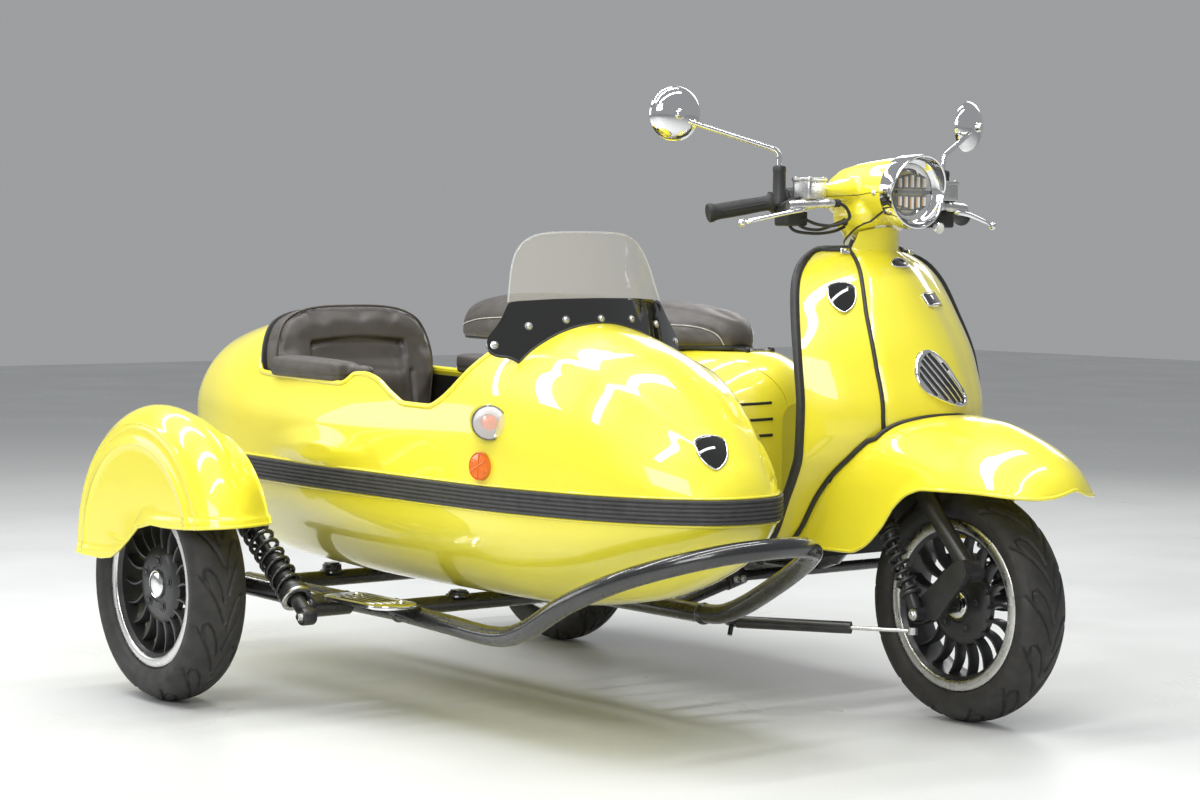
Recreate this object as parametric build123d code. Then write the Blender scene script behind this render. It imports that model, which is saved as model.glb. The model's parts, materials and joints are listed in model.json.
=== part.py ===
from build123d import *
import os
from math import atan2, cos, pi, radians, sin, tan

# Scooter with sidecar, in millimetres: +X forward, +Y to the rider's left, +Z up.
# Sizes are laid out from the ground point under the rear axle on the scooter's centre plane.
# At the end everything moves so that the origin is under the middle of the whole outfit.

# Running gear
WHEELBASE = 1330
TRACK = 1144
SIDE_WHEEL_LEAD = 216
FRONT_TYRE_RADIUS = 229.5
REAR_TYRE_RADIUS = 236
FRONT_TYRE_WIDTH = 110
REAR_TYRE_WIDTH = 120
BEAD_RADIUS = 152.4
FLANGE_RADIUS = 166.5
FLANGE_WIDTH = 5
RIM_HALF_WIDTH = 43
RIM_WALL = 6
LIP_INNER_RADIUS = 147
HUB_DISC_RADIUS = 79
HUB_DISC_THICKNESS = 34
HUB_FACE = 26
HUB_RADIUS = 30
AXLE_RADIUS = 8
SPOKE_COUNT = 18
SPOKE_THICKNESS = 6
SPOKE_DEPTH = 24
SPOKE_BOW = 9
BEARING_GAP = 0.3

# Steering
RAKE = 25
HEAD_X = WHEELBASE - 310
HEAD_Z = 930
STEM_RADIUS = 16
HEAD_TUBE_WALL = 6
STEM_GAP = 0.6
FORK_OFFSET = 84
LEG_RADIUS = 17
CROWN_Z = 512
PIVOT_X = WHEELBASE + 88
PIVOT_Z = 308

# Sidecar body
CAR_Y = -640
BELT_Z = 453
BELT_HEIGHT = 44
BELT_PROUD = 9
BELT_GAP = 2.5
SHELL_WALL = 8

# Tubes
RAIL_RADIUS = 19
CROSS_RADIUS = 17
FRAME_RADIUS = 27

PARTS = {}


def vec(*xyz):
    return Vector(*xyz)


def rod(start, end, radius):
    """Round bar between two points."""
    along = vec(*end) - vec(*start)
    bar = Cylinder(radius, along.length, align=(Align.CENTER, Align.CENTER, Align.MIN))
    return Plane(origin=start, z_dir=along) * bar


def disc(centre, radius, width, inner=0):
    """Round plate or ring whose axis is Y, centred on a point."""
    plate = Cylinder(radius, width)
    if inner:
        plate -= Cylinder(inner, width * 2)
    return Pos(*centre) * Rot(90, 0, 0) * plate


def block(x, y, z):
    """Plain block from three (low, high) pairs."""
    size = [high - low for low, high in (x, y, z)]
    middle = [(high + low) / 2 for low, high in (x, y, z)]
    return Pos(*middle) * Box(*size)


def eased(points, bend):
    """The same run of points with each corner replaced by two half-bends a little before and after it."""
    path = [vec(*points[0])]
    for before, corner, after in zip(points, points[1:], points[2:]):
        corner = vec(*corner)
        for other in (before, after):
            way = vec(*other) - corner
            path.append(corner + way.normalized() * min(bend, way.length * 0.4))
    path.append(vec(*points[-1]))
    return path


def mitred(points, section):
    """Section swept along straight runs with mitred corners."""
    path = Polyline(*points)
    return sweep(Plane(path @ 0, z_dir=path % 0) * section, path=path, transition=Transition.RIGHT)


def bent_tube(points, radius, bend):
    """Round tube along straight runs, with each bend made of two mitres."""
    return mitred(eased(points, bend), Circle(radius))


def side_plate(points, low_y, high_y):
    """Plate cut from a side-view outline of (x, z) points, between two values of y."""
    outline = make_face(Polyline(*points, close=True))
    return extrude(Plane((0, high_y, 0), x_dir=(1, 0, 0), z_dir=(0, -1, 0)) * outline, high_y - low_y)


def front_plate(points, low_x, high_x):
    """Plate cut from a front-view outline of (y, z) points, between two values of x."""
    outline = make_face(Polyline(*points, close=True))
    return extrude(Plane((low_x, 0, 0), x_dir=(0, 1, 0), z_dir=(1, 0, 0)) * outline, high_x - low_x)


def mirrored(shape):
    return mirror(shape, Plane.XZ)


def add(name, *pieces):
    """Keep a node: its solids, which are fused where they touch."""
    whole = pieces[0]
    for piece in pieces[1:]:
        whole = whole + piece
    PARTS[name] = whole


def arch_face(x, middle_y, base_z, half_width, height, corner=0.62, up=1):
    """Cross-section at x: straight lower sides, two corner arcs and a crown arc on a base line."""
    side = max(0.1 * height, height - 0.9 * half_width)
    rise = height - side
    r1 = corner * min(half_width, rise)
    r2 = ((half_width - r1) ** 2 + rise**2 - r1**2) / (2 * (rise - r1))
    lean = atan2(half_width - r1, r2 - rise)
    join = (r2 * sin(lean), side + rise - r2 + r2 * cos(lean))
    mid = lean + (pi / 2 - lean) / 2
    knee = (half_width - r1 + r1 * sin(mid), side + r1 * cos(mid))
    points = {"foot": (half_width, 0), "side": (half_width, side), "knee": knee, "join": join}

    def at(name, sign):
        y, z = points[name]
        return (sign * y, z)

    edges = [
        Line(at("foot", -1), at("foot", 1)),
        Line(at("foot", 1), at("side", 1)),
        ThreePointArc(at("side", 1), at("knee", 1), at("join", 1)),
        ThreePointArc(at("join", 1), (0, height), at("join", -1)),
        ThreePointArc(at("join", -1), at("knee", -1), at("side", -1)),
        Line(at("side", -1), at("foot", -1)),
    ]
    face = make_face(edges)
    plane = Plane((x, middle_y, base_z), x_dir=(0, 1, 0), z_dir=(1, 0, 0))
    if up < 0:
        face = mirror(face, Plane.XZ)
    return plane * face


# Wheels: tyre and cast rim, each about its own Y axis and then set in place
def tyre(radius, width):
    seat_half = RIM_HALF_WIDTH - FLANGE_WIDTH
    belly = (width / 2, (radius + BEAD_RADIUS) / 2)
    shoulder = (width * 0.43, radius - width * 0.16)
    bead = (seat_half, BEAD_RADIUS)
    lip = (seat_half, FLANGE_RADIUS + 1)

    def at(point, sign):
        return (sign * point[0], point[1])

    edges = [
        Line(at(bead, -1), at(bead, 1)),
        Line(at(bead, 1), at(lip, 1)),
        ThreePointArc(at(lip, 1), at(belly, 1), at(shoulder, 1)),
        ThreePointArc(at(shoulder, 1), (0, radius), at(shoulder, -1)),
        ThreePointArc(at(shoulder, -1), at(belly, -1), at(lip, -1)),
        Line(at(lip, -1), at(bead, -1)),
    ]
    return revolve(Plane.YZ * make_face(edges), Axis.Y)


def rim(hub_half_width):
    """Cast rim: barrel with two flanges, hub disc behind the outer lip, and a ring of blade spokes."""
    half = RIM_HALF_WIDTH
    seat = half - FLANGE_WIDTH
    profile = [
        (-half, LIP_INNER_RADIUS), (-half, FLANGE_RADIUS), (-seat, FLANGE_RADIUS), (-seat, BEAD_RADIUS),
        (seat, BEAD_RADIUS), (seat, FLANGE_RADIUS), (half, FLANGE_RADIUS), (half, LIP_INNER_RADIUS),
        (seat - 8, BEAD_RADIUS - RIM_WALL - 6), (RIM_WALL - seat, BEAD_RADIUS - RIM_WALL - 6),
    ]
    barrel = revolve(Plane.YZ * make_face(Polyline(*profile, close=True)), Axis.Y)
    hub = [
        (-HUB_FACE, AXLE_RADIUS + BEARING_GAP), (-HUB_FACE, HUB_DISC_RADIUS - 8),
        (-HUB_FACE + 8, HUB_DISC_RADIUS), (-HUB_FACE + HUB_DISC_THICKNESS, HUB_DISC_RADIUS),
        (-HUB_FACE + HUB_DISC_THICKNESS, HUB_RADIUS), (hub_half_width, HUB_RADIUS),
        (hub_half_width, AXLE_RADIUS + BEARING_GAP),
    ]
    centre = revolve(Plane.YZ * make_face(Polyline(*hub, close=True)), Axis.Y)
    inner = HUB_DISC_RADIUS - 5
    outer = BEAD_RADIUS - RIM_WALL - 3
    middle = (inner + outer) / 2
    half_blade = SPOKE_THICKNESS / 2
    blade = make_face(Polyline(
        (inner, -half_blade), (middle, SPOKE_BOW - half_blade), (outer, -half_blade),
        (outer, half_blade), (middle, SPOKE_BOW + half_blade), (inner, half_blade), close=True,
    ))
    front = Plane((0, -HUB_FACE + 9, 0), x_dir=(1, 0, 0), z_dir=(0, 1, 0))
    spoke = extrude(front * blade, SPOKE_DEPTH)
    whole = barrel + centre
    for turn in range(SPOKE_COUNT):
        whole += Rot(0, turn * 360 / SPOKE_COUNT, 0) * spoke
    return whole


FRONT_CENTRE = (WHEELBASE, 0, FRONT_TYRE_RADIUS)
REAR_CENTRE = (0, 0, REAR_TYRE_RADIUS)
SIDE_CENTRE = (SIDE_WHEEL_LEAD, -TRACK, REAR_TYRE_RADIUS)
HUB_HALF = 34

BRAKE_DISC_RADIUS = 95
BRAKE_DISC_Y = 46

front_disc = disc((0, BRAKE_DISC_Y, 0), BRAKE_DISC_RADIUS, 4, inner=HUB_RADIUS - 8)
front_carrier = disc((0, (HUB_HALF + BRAKE_DISC_Y) / 2, 0), HUB_RADIUS, BRAKE_DISC_Y - HUB_HALF + 6, inner=12)
add("front_tyre", Pos(*FRONT_CENTRE) * tyre(FRONT_TYRE_RADIUS, FRONT_TYRE_WIDTH))
add("front_rim", Pos(*FRONT_CENTRE) * (rim(HUB_HALF) + front_carrier + front_disc))
add("rear_tyre", Pos(*REAR_CENTRE) * tyre(REAR_TYRE_RADIUS, REAR_TYRE_WIDTH))
add("rear_rim", Pos(*REAR_CENTRE) * rim(HUB_HALF))
add("sidecar_tyre", Pos(*SIDE_CENTRE) * tyre(REAR_TYRE_RADIUS, REAR_TYRE_WIDTH))
add("sidecar_rim", Pos(*SIDE_CENTRE) * rim(HUB_HALF))


# Steering axis: a point on it for any height
def on_axis(z):
    return (HEAD_X + (HEAD_Z - z) * tan(radians(RAKE)), 0, z)


STEERING_WAY = (-sin(radians(RAKE)), 0, cos(radians(RAKE)))
# Heights on the steering axis where the shield ends and the turning neck begins
SHIELD_END_Z = 926
NECK_Z = 933


def across_axis(z):
    """Plane square to the steering axis through its point at a height."""
    return Plane(origin=on_axis(z), z_dir=STEERING_WAY)


# Trailing-link fork
LINK_Y = FORK_OFFSET + 24
LINK_THICKNESS = 10
SHOCK_EYE_HALF = 11
SHOCK_Y = LINK_Y + LINK_THICKNESS / 2 + 1 + SHOCK_EYE_HALF
# The shock's upper eye from the top of the leg: back, down
SHOCK_TOP_BACK = 27
SHOCK_TOP_DOWN = 68
crown = on_axis(CROWN_Z)
stem_top = on_axis(1010)
leg_top = (crown[0] + 12, FORK_OFFSET, crown[2])
fork = rod(crown, stem_top, STEM_RADIUS)
fork += rod((leg_top[0], -FORK_OFFSET, leg_top[2]), leg_top, 20)
for side in (-1, 1):
    leg_y = side * FORK_OFFSET
    fork += rod((leg_top[0], leg_y, leg_top[2]), (PIVOT_X, leg_y, PIVOT_Z), LEG_RADIUS)
    fork += Pos(leg_top[0], leg_y, leg_top[2]) * Sphere(20)
    fork += disc((PIVOT_X, leg_y, PIVOT_Z), 22, 34)
    arm_end = (leg_top[0] - SHOCK_TOP_BACK, side * (FORK_OFFSET + 10), leg_top[2] - SHOCK_TOP_DOWN)
    fork += rod((leg_top[0] + 10, leg_y, leg_top[2] - 12), arm_end, 12)
    pin_end = (arm_end[0], side * (SHOCK_Y - SHOCK_EYE_HALF), arm_end[2])
    fork += rod((arm_end[0], side * FORK_OFFSET, arm_end[2]), pin_end, 7)
add("fork", fork)

EYE_X = WHEELBASE - 10
EYE_Z = FRONT_TYRE_RADIUS - 12
links = []
for side in (-1, 1):
    low, high = sorted((side * (LINK_Y - LINK_THICKNESS / 2), side * (LINK_Y + LINK_THICKNESS / 2)))
    link = side_plate([
        (PIVOT_X + 24, PIVOT_Z - 4), (PIVOT_X + 10, PIVOT_Z + 24), (PIVOT_X - 20, PIVOT_Z + 14),
        (WHEELBASE - 8, FRONT_TYRE_RADIUS + 26), (EYE_X - 22, EYE_Z + 10), (EYE_X - 26, EYE_Z - 12),
        (WHEELBASE - 4, FRONT_TYRE_RADIUS - 24), (WHEELBASE + 30, FRONT_TYRE_RADIUS - 20),
    ], low, high)
    link += disc((PIVOT_X, side * LINK_Y, PIVOT_Z), 20, LINK_THICKNESS + 4)
    links.append(link)
axle = rod((WHEELBASE, -LINK_Y, FRONT_TYRE_RADIUS), (WHEELBASE, LINK_Y, FRONT_TYRE_RADIUS), AXLE_RADIUS)
spacers = disc((WHEELBASE, -70, FRONT_TYRE_RADIUS), 16, 66) + disc((WHEELBASE, 78, FRONT_TYRE_RADIUS), 16, 50)
caliper = block(
    (WHEELBASE - 112, WHEELBASE - 52),
    (BRAKE_DISC_Y + 6, LINK_Y - 3),
    (FRONT_TYRE_RADIUS + 20, FRONT_TYRE_RADIUS + 84),
)
add("front_links", links[0], links[1], axle, spacers, caliper)

shock_top = (leg_top[0] - SHOCK_TOP_BACK, leg_top[2] - SHOCK_TOP_DOWN)
shocks = []
for side in (-1, 1):
    eye = (EYE_X, side * SHOCK_Y, EYE_Z)
    cap = (shock_top[0], side * SHOCK_Y, shock_top[1])
    along = vec(*cap) - vec(*eye)

    def part_way(share):
        return tuple(vec(*eye) + along * share)

    shock = disc(eye, 13, 2 * SHOCK_EYE_HALF) + rod(eye, part_way(0.31), 11)
    shock += rod(part_way(0.30), part_way(0.37), 20)
    shock += rod(part_way(0.36), part_way(0.97), 17)
    shock += disc(cap, 12, 2 * SHOCK_EYE_HALF)
    shocks.append(shock)
add("front_shocks", *shocks)

# Headset shell, carried on the stem
LAMP_X = HEAD_X + 130
LAMP_Z = 1031
LAMP_RADIUS = 69
barrel_faces = []
BARREL_TABLE = (
    # x from the steering head, z, radius
    (-65, 1022, 34),
    (-20, 1026, 52),
    (40, 1030, 63),
    (LAMP_X - HEAD_X, LAMP_Z, LAMP_RADIUS - 1),
)
for x, z, radius in BARREL_TABLE:
    barrel_faces.append(Plane((HEAD_X + x, 0, z), x_dir=(0, 1, 0), z_dir=(1, 0, 0)) * Circle(radius))
headset = loft(barrel_faces)
neck_faces = []
NECK_TABLE = (
    # x from the steering head, z, length, width
    (-2, 900, 112, 92),
    (30, 975, 128, 104),
    (40, 1030, 110, 90),
)
for x, z, length, width in NECK_TABLE:
    neck_faces.append(Plane((HEAD_X + x, 0, z)) * Ellipse(length / 2, width / 2))
headset += loft(neck_faces)
WING_TABLE = (
    # x from the steering head, y, z, length, height
    (15, 20, 1035, 100, 62),
    (20, 90, 1032, 70, 46),
    (22, 150, 1028, 46, 38),
)
for side in (-1, 1):
    wing_faces = []
    for x, y, z, length, height in WING_TABLE:
        wing_plane = Plane((HEAD_X + x, side * y, z), x_dir=(1, 0, 0), z_dir=(0, side, 0))
        wing_faces.append(wing_plane * RectangleRounded(length, height, 16))
    headset += loft(wing_faces)
headset -= rod(on_axis(880), on_axis(1010), STEM_RADIUS)
headset -= across_axis(NECK_Z) * Box(400, 400, 120, align=(Align.CENTER, Align.CENTER, Align.MAX))
add("headset", headset)

ring = disc((0, 0, 0), LAMP_RADIUS + 3, 26, inner=LAMP_RADIUS - 12)
lamp_place = Pos(LAMP_X + 13.2, 0, LAMP_Z) * Rot(0, 0, 90)
add("headlight_ring", lamp_place * ring)
LENS_RADIUS = LAMP_RADIUS - 12.5
standing = (Align.CENTER, Align.CENTER, Align.MIN)
lens = Cylinder(LENS_RADIUS, 10, align=standing)
lens += Pos(0, 0, 10) * Cone(LENS_RADIUS, LENS_RADIUS * 0.55, 13, align=standing)
add("headlight_lens", Pos(LAMP_X + 2, 0, LAMP_Z) * Rot(0, 90, 0) * lens)

# Handlebar ends: grips, perches, levers and mirrors, mirrored left to right
bars = []
levers = []
mirrors = []
BAR_INNER = (HEAD_X + 23, -140, 1026)
BAR_OUTER = (HEAD_X - 68, -352, 986)
bar_line = vec(*BAR_OUTER) - vec(*BAR_INNER)


def along_bar(share):
    return tuple(vec(*BAR_INNER) + bar_line * share)


grip = rod(along_bar(0.42), along_bar(1.0), 17) + rod(along_bar(0.38), along_bar(0.42), 22)
grip += rod(along_bar(0.05), along_bar(0.42), 13) + rod(along_bar(0.18), along_bar(0.36), 23)
stem_base = (HEAD_X + 2, -229, 1090)
perch = rod(along_bar(0.27), (stem_base[0], -224, stem_base[2]), 11)
lever_line = [
    (HEAD_X + 48, -158, 1004), (HEAD_X + 60, -200, 992), (HEAD_X + 42, -270, 978), (HEAD_X + 13, -337, 966),
]
lever = mitred(lever_line, RectangleRounded(13, 13, 3))
lever += rod((HEAD_X + 25, -158, 1018), (HEAD_X + 52, -158, 1002), 9)
mirror_head = vec(HEAD_X - 104, -405, 1180)
mirror_axis = vec(-1, 0.12, 0.05).normalized()
stem_line = [(HEAD_X + 2, -227, 1088), (HEAD_X - 2, -232, 1112), tuple(mirror_head + vec(10, 6, -8))]
stem = mitred(stem_line, Circle(5))
dish = Plane(origin=tuple(mirror_head), z_dir=mirror_axis) * Cylinder(54, 10)
dish_back = Plane(origin=tuple(mirror_head - mirror_axis * 5), z_dir=-mirror_axis)
dish += dish_back * Cone(50, 12, 14, align=standing)
grips_right = grip + perch
mirror_right = stem + dish
reservoir = block((HEAD_X + 10, HEAD_X + 62), (-200, -158), (1032, 1064))
add("grips", grips_right - headset, mirrored(grips_right) - headset)
lever_right = (lever + reservoir) - grip - headset
add("levers", lever_right, mirrored(lever_right))
add("mirrors", mirror_right - grips_right, mirrored(mirror_right - grips_right))

# Scooter frame: head tube, down tube, floor spine and rear loop
head_low = on_axis(600)
head_high = on_axis(905)
# Centre line of the main tube from the head down and under the floor
spine = [
    (HEAD_X + 112, 0, 672), (HEAD_X - 20, 0, 350), (HEAD_X - 120, 0, 255),
    (560, 0, 255), (440, 0, 400), (300, 0, 430),
]
frame = bent_tube(spine, FRAME_RADIUS, 70)
frame += rod(head_low, head_high, STEM_RADIUS + STEM_GAP + HEAD_TUBE_WALL)
frame -= rod(on_axis(560), on_axis(960), STEM_RADIUS + STEM_GAP)
for side in (-1, 1):
    loop = [(545, side * 10, 270), (470, side * 80, 330), (330, side * 84, 420), (-290, side * 84, 440)]
    frame += mitred(loop, Rectangle(24, 24))
CLAMP_XS = (640, HEAD_X - 120)
CLAMP_Y = -205
CLAMP_Z = 255
for x in CLAMP_XS:
    frame += rod((x, CLAMP_Y, CLAMP_Z), (x, -CLAMP_Y, CLAMP_Z), 11)
for x, z in ((300, 425), (-280, 440)):
    frame += rod((x, -84, z), (x, 84, z), 12)
add("scooter_frame", frame)

# Legshield: crescent plan sections stacked from the floor to the neck
LEG_TABLE = (
    # z, edge x from the steering head, half-width, middle x from the steering head
    (968, -28, 86, 26),
    (930, -12, 122, 52),
    (876, 17, 192, 98),
    (800, 44, 215, 148),
    (690, 81, 238, 206),
    (600, 94, 242, 232),
    (520, 92, 244, 235),
    (430, 55, 244, 210),
    (360, 18, 240, 170),
    (300, -35, 232, 100),
)
LEG_WALL = 12
PANEL_PROUD = 4
# Wheel well behind the front wheel, lined by its own walls
WELL_X = HEAD_X + 10
WELL_HALF = 182
WELL_TOP = 562
LINER_WALL = 5


def crescent(z, edge_x, half_width, centre_x, proud=0, wall=LEG_WALL):
    inner_half = half_width - wall / 3
    face = make_face([
        ThreePointArc((edge_x + proud, -half_width), (centre_x + proud, 0), (edge_x + proud, half_width)),
        Line((edge_x + proud, half_width), (edge_x - wall, inner_half)),
        ThreePointArc((edge_x - wall, inner_half), (centre_x - wall, 0), (edge_x - wall, -inner_half)),
        Line((edge_x - wall, -inner_half), (edge_x + proud, -half_width)),
    ])
    return Plane((HEAD_X, 0, z)) * face


shield = loft([crescent(*row) for row in LEG_TABLE])
# Front-view outline (y, z) of the separate middle panel
PANEL_OUTLINE = [
    (-62, 980), (62, 980), (70, 930), (84, 880), (112, 780), (126, 680), (128, 600), (124, 560),
    (-124, 560), (-128, 600), (-126, 680), (-112, 780), (-84, 880), (-70, 930),
]
panel_zone = front_plate(PANEL_OUTLINE, HEAD_X - 20, HEAD_X + 380)
well_zone = block((WELL_X, WELL_X + 400), (-WELL_HALF, WELL_HALF), (200, WELL_TOP))
neck_zone = rod(on_axis(600), on_axis(900), 48) + rod(on_axis(880), on_axis(1000), 36)
above_shield = across_axis(SHIELD_END_Z) * Box(500, 500, 120, align=(Align.CENTER, Align.CENTER, Align.MIN))
legshield = shield - panel_zone - well_zone - neck_zone - above_shield
add("legshield", legshield)
LINER_TOP = WELL_TOP - 1
LINER_HALF = WELL_HALF - 1
# Side-view outline (x, z) of the liner's two side walls
liner_side = [
    (WELL_X, 300), (WELL_X + 10, 300), (WELL_X + 40, 372), (WELL_X + 85, 430), (WELL_X + 120, 500),
    (WELL_X + 120, LINER_TOP), (WELL_X, LINER_TOP),
]
liner = block((WELL_X, WELL_X + LINER_WALL), (-LINER_HALF, LINER_HALF), (300, LINER_TOP))
liner += block((WELL_X, WELL_X + 120), (-LINER_HALF, LINER_HALF), (LINER_TOP - LINER_WALL, LINER_TOP))
for low in (-LINER_HALF, LINER_HALF - LINER_WALL):
    liner += side_plate(liner_side, low, low + LINER_WALL)
liner -= bent_tube(spine, FRAME_RADIUS + 2, 70)
add("well_liner", liner)
panel_body = loft([crescent(*row, proud=PANEL_PROUD, wall=LEG_WALL) for row in LEG_TABLE[:7]])
PANEL_SHRINK = 0.985
panel_outline = [(y * PANEL_SHRINK, z) for y, z in PANEL_OUTLINE]
gap_zone = front_plate(panel_outline, HEAD_X - 20, HEAD_X + 380)
add("front_panel", (panel_body & gap_zone) - neck_zone - above_shield)

# Edge trim along both sides of the legshield
TRIM_RADIUS = 5.5
TRIM_OUT = TRIM_RADIUS + 4
trims = []
for side in (-1, 1):
    edge = [(edge_x - LEG_WALL / 2, side * (half + TRIM_OUT), z) for z, edge_x, half, _ in LEG_TABLE[1:]]
    trims.append(mitred(edge, Rectangle(2 * TRIM_RADIUS, 2 * TRIM_RADIUS)))
add("legshield_trim", *trims)

# Fixed front fender
FENDER_TABLE = (
    # x from the front axle, half-width, crest z
    (-280, 178, 500),
    (-210, 180, 548),
    (-130, 176, 578),
    (-30, 163, 592),
    (70, 147, 586),
    (150, 128, 564),
    (220, 102, 532),
    (270, 70, 502),
    (298, 30, 482),
)
FENDER_BASE = 330
FENDER_WALL = 4
# Upright cylinder that the bulge of the legshield follows where the fender meets it
PANEL_MIDDLE_X = HEAD_X - 47
PANEL_RADIUS = 289


def fender_faces(inset):
    faces = []
    for x, half_width, crest in FENDER_TABLE:
        drop = FENDER_BASE - inset * 3
        middle_x = WHEELBASE + x - inset
        faces.append(arch_face(middle_x, 0, drop, half_width - inset, crest - inset - drop, corner=0.8))
    return faces


FENDER_SIDE = (
    # x from the front axle, z: the lower edge forwards, then the seam from the top back down
    (-274, 332), (-134, 332), (-108, 346), (-72, 384), (-37, 430), (-4, 455), (70, 464), (170, 466),
    (260, 460), (310, 470), (370, 470), (370, 700), (-60, 700), (-102, 575), (-139, 531),
    (-164, 487), (-202, 430), (-242, 372),
)
fender_side = [(WHEELBASE + x, z) for x, z in FENDER_SIDE]
fender_solid = loft(fender_faces(0)) & side_plate(fender_side, -300, 300)
fender_solid -= Pos(PANEL_MIDDLE_X, 0, WELL_TOP + 60) * Cylinder(PANEL_RADIUS, 150)
fender_solid -= loft(fender_faces(FENDER_WALL))
add("front_fender", fender_solid)

# Floorboard between the legshield and the cowls
FLOOR_END = HEAD_X - 60
floor = block((560, FLOOR_END), (-222, 222), (288, 300))
floor += block((700, FLOOR_END - 20), (-60, 60), (300, 330))
floor -= block((600, FLOOR_END + 40), (-30, 30), (280, 318))
floor -= bent_tube(spine, FRAME_RADIUS + 1, 70)
add("floorboard", floor)

# Glovebox behind the legshield
glove = block((HEAD_X - 90, HEAD_X + 20), (-140, 140), (WELL_TOP, 800))
glove -= rod(head_low, head_high, 40)
glove -= bent_tube(spine, FRAME_RADIUS + 3, 70)
glove -= loft([crescent(*row, wall=60) for row in LEG_TABLE[1:]])
add("glovebox", glove)

# Side cowls
COWL_TABLE = (
    # x, outer y, base z, top z
    (-330, 120, 430, 560),
    (-220, 196, 360, 645),
    (60, 240, 310, 700),
    (450, 246, 300, 712),
    (680, 212, 315, 668),
    (820, 120, 380, 520),
)


def cowl_faces(inset):
    faces = []
    for x, outer, base, top in COWL_TABLE:
        faces.append(arch_face(x, 0, base + inset, outer - inset, top - base - 2 * inset, corner=0.7))
    return faces


cowl_shell = loft(cowl_faces(0)) - loft(cowl_faces(5))
arch_cut = Pos(0, 0, REAR_TYRE_RADIUS) * Rot(90, 0, 0) * Cylinder(250, 700)
cowl_shell -= arch_cut
cowl_shell -= block((-340, 900), (-300, 300), (200, 320))
SPINE_HALF = 96
right_cowl = cowl_shell & block((-400, 900), (-300, -SPINE_HALF - 1), (200, 800))
add("side_cowl_right", right_cowl)
add("side_cowl_left", mirrored(right_cowl))

# Centre body under the seat, open on top as the luggage bucket, with the seat's hinge ears
SEAT_BASE = 700
SEAT_HINGE_X = 703
HINGE_PIN = 5
centre_outer = loft(cowl_faces(0)) & block((-400, 900), (-SPINE_HALF, SPINE_HALF), (460, 698))
centre_inner = loft(cowl_faces(5)) & block((-400, 900), (-SPINE_HALF + 5, SPINE_HALF - 5), (300, 694))
bucket = block((80, 560), (-SPINE_HALF + 12, SPINE_HALF - 12), (500, 800))
bucket_tub = block((75, 565), (-SPINE_HALF + 6, SPINE_HALF - 6), (492, 694))
tail_body = ((centre_outer - centre_inner) + bucket_tub) - bucket - arch_cut
HINGE_EYE_RADIUS = 11
EAR_Y = 34
EAR_THICKNESS = 10
for side in (-1, 1):
    low, high = side * EAR_Y - EAR_THICKNESS / 2, side * EAR_Y + EAR_THICKNESS / 2
    ear_x = (SEAT_HINGE_X - HINGE_EYE_RADIUS, SEAT_HINGE_X + HINGE_EYE_RADIUS)
    tail_body += block(ear_x, (low, high), (640, SEAT_BASE))
    tail_body += disc((SEAT_HINGE_X, side * EAR_Y, SEAT_BASE), HINGE_EYE_RADIUS, EAR_THICKNESS)
tail_body += disc((SEAT_HINGE_X, 0, SEAT_BASE), HINGE_PIN, 2 * EAR_Y - EAR_THICKNESS + 2)
add("tail_body", tail_body)

# Seat lid hinged at its front edge
seat_faces = []
SEAT_TABLE = (
    # x, half-width, height
    (-290, 90, 60),
    (-230, 128, 92),
    (0, 146, 96),
    (180, 146, 78),
    (330, 138, 84),
    (520, 122, 88),
    (650, 96, 64),
    (700, 60, 34),
)
for x, half_width, height in SEAT_TABLE:
    seat_faces.append(arch_face(x, 0, SEAT_BASE + 4, half_width, height, corner=0.6))
knuckle = disc((SEAT_HINGE_X, 0, SEAT_BASE), HINGE_EYE_RADIUS, 50, inner=HINGE_PIN + BEARING_GAP)
knuckle += block((655, 693), (-24, 24), (SEAT_BASE - 4, SEAT_BASE + 10))
hinge_room = disc((SEAT_HINGE_X, 0, SEAT_BASE), 13, 100)
add("scooter_seat", (loft(seat_faces) - hinge_room) + knuckle)

# Tail lamp, rear mudguard with number-plate bracket
add("tail_light", block((-372, -331), (-52, 52), (480, 550)))
guard = side_plate([(-262, 420), (-248, 420), (-330, 250), (-390, 160), (-402, 166), (-345, 262)], -60, 60)
PLATE_HOLE = 3.25
plate = block((-402, -394), (-90, 90), (300, 420))
for y in (-70, 70):
    for z in (330, 390):
        plate -= rod((-420, y, z), (-380, y, z), PLATE_HOLE)
plate += block((-396, -262), (-30, 30), (408, 420))
add("rear_mudguard", guard + plate)

# Engine and transmission, plain blocks, with exhaust and rear shock
engine = block((60, 380), (-66, 66), (190, 370))
engine += block((-70, 330), (76, 150), (170, 300)) + block((60, 330), (64, 80), (200, 300))
rear_axle = rod((0, -HUB_HALF - 20, REAR_TYRE_RADIUS), (0, 90, REAR_TYRE_RADIUS), AXLE_RADIUS)
engine -= disc((0, 0, REAR_TYRE_RADIUS), REAR_TYRE_RADIUS + 8, 140)
engine += rear_axle
add("engine", engine)
exhaust = rod((-260, -150, 270), (90, -150, 250), 52)
exhaust += bent_tube([(80, -150, 250), (200, -150, 245), (245, -75, 231)], 14, 30)
exhaust += block((-30, 30), (-112, -60), (256, 264))
add("exhaust", exhaust)
rear_shock = rod((-43, 120, 309), (-90, 120, 426), 20)
add("rear_shock", rear_shock)

# Sidecar body: belt half-widths, crown heights and keel depths by station
CAR_TABLE = (
    # x, half-width at the belt, crown above the belt, keel below the belt
    (-416, 36, 60, 20),
    (-370, 108, 180, 84),
    (-240, 175, 278, 156),
    (60, 240, 318, 214),
    (500, 258, 322, 222),
    (900, 253, 330, 220),
    (1140, 218, 280, 192),
    (1300, 160, 180, 140),
    (1390, 93, 92, 80),
    (1420, 44, 40, 24),
)


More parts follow.
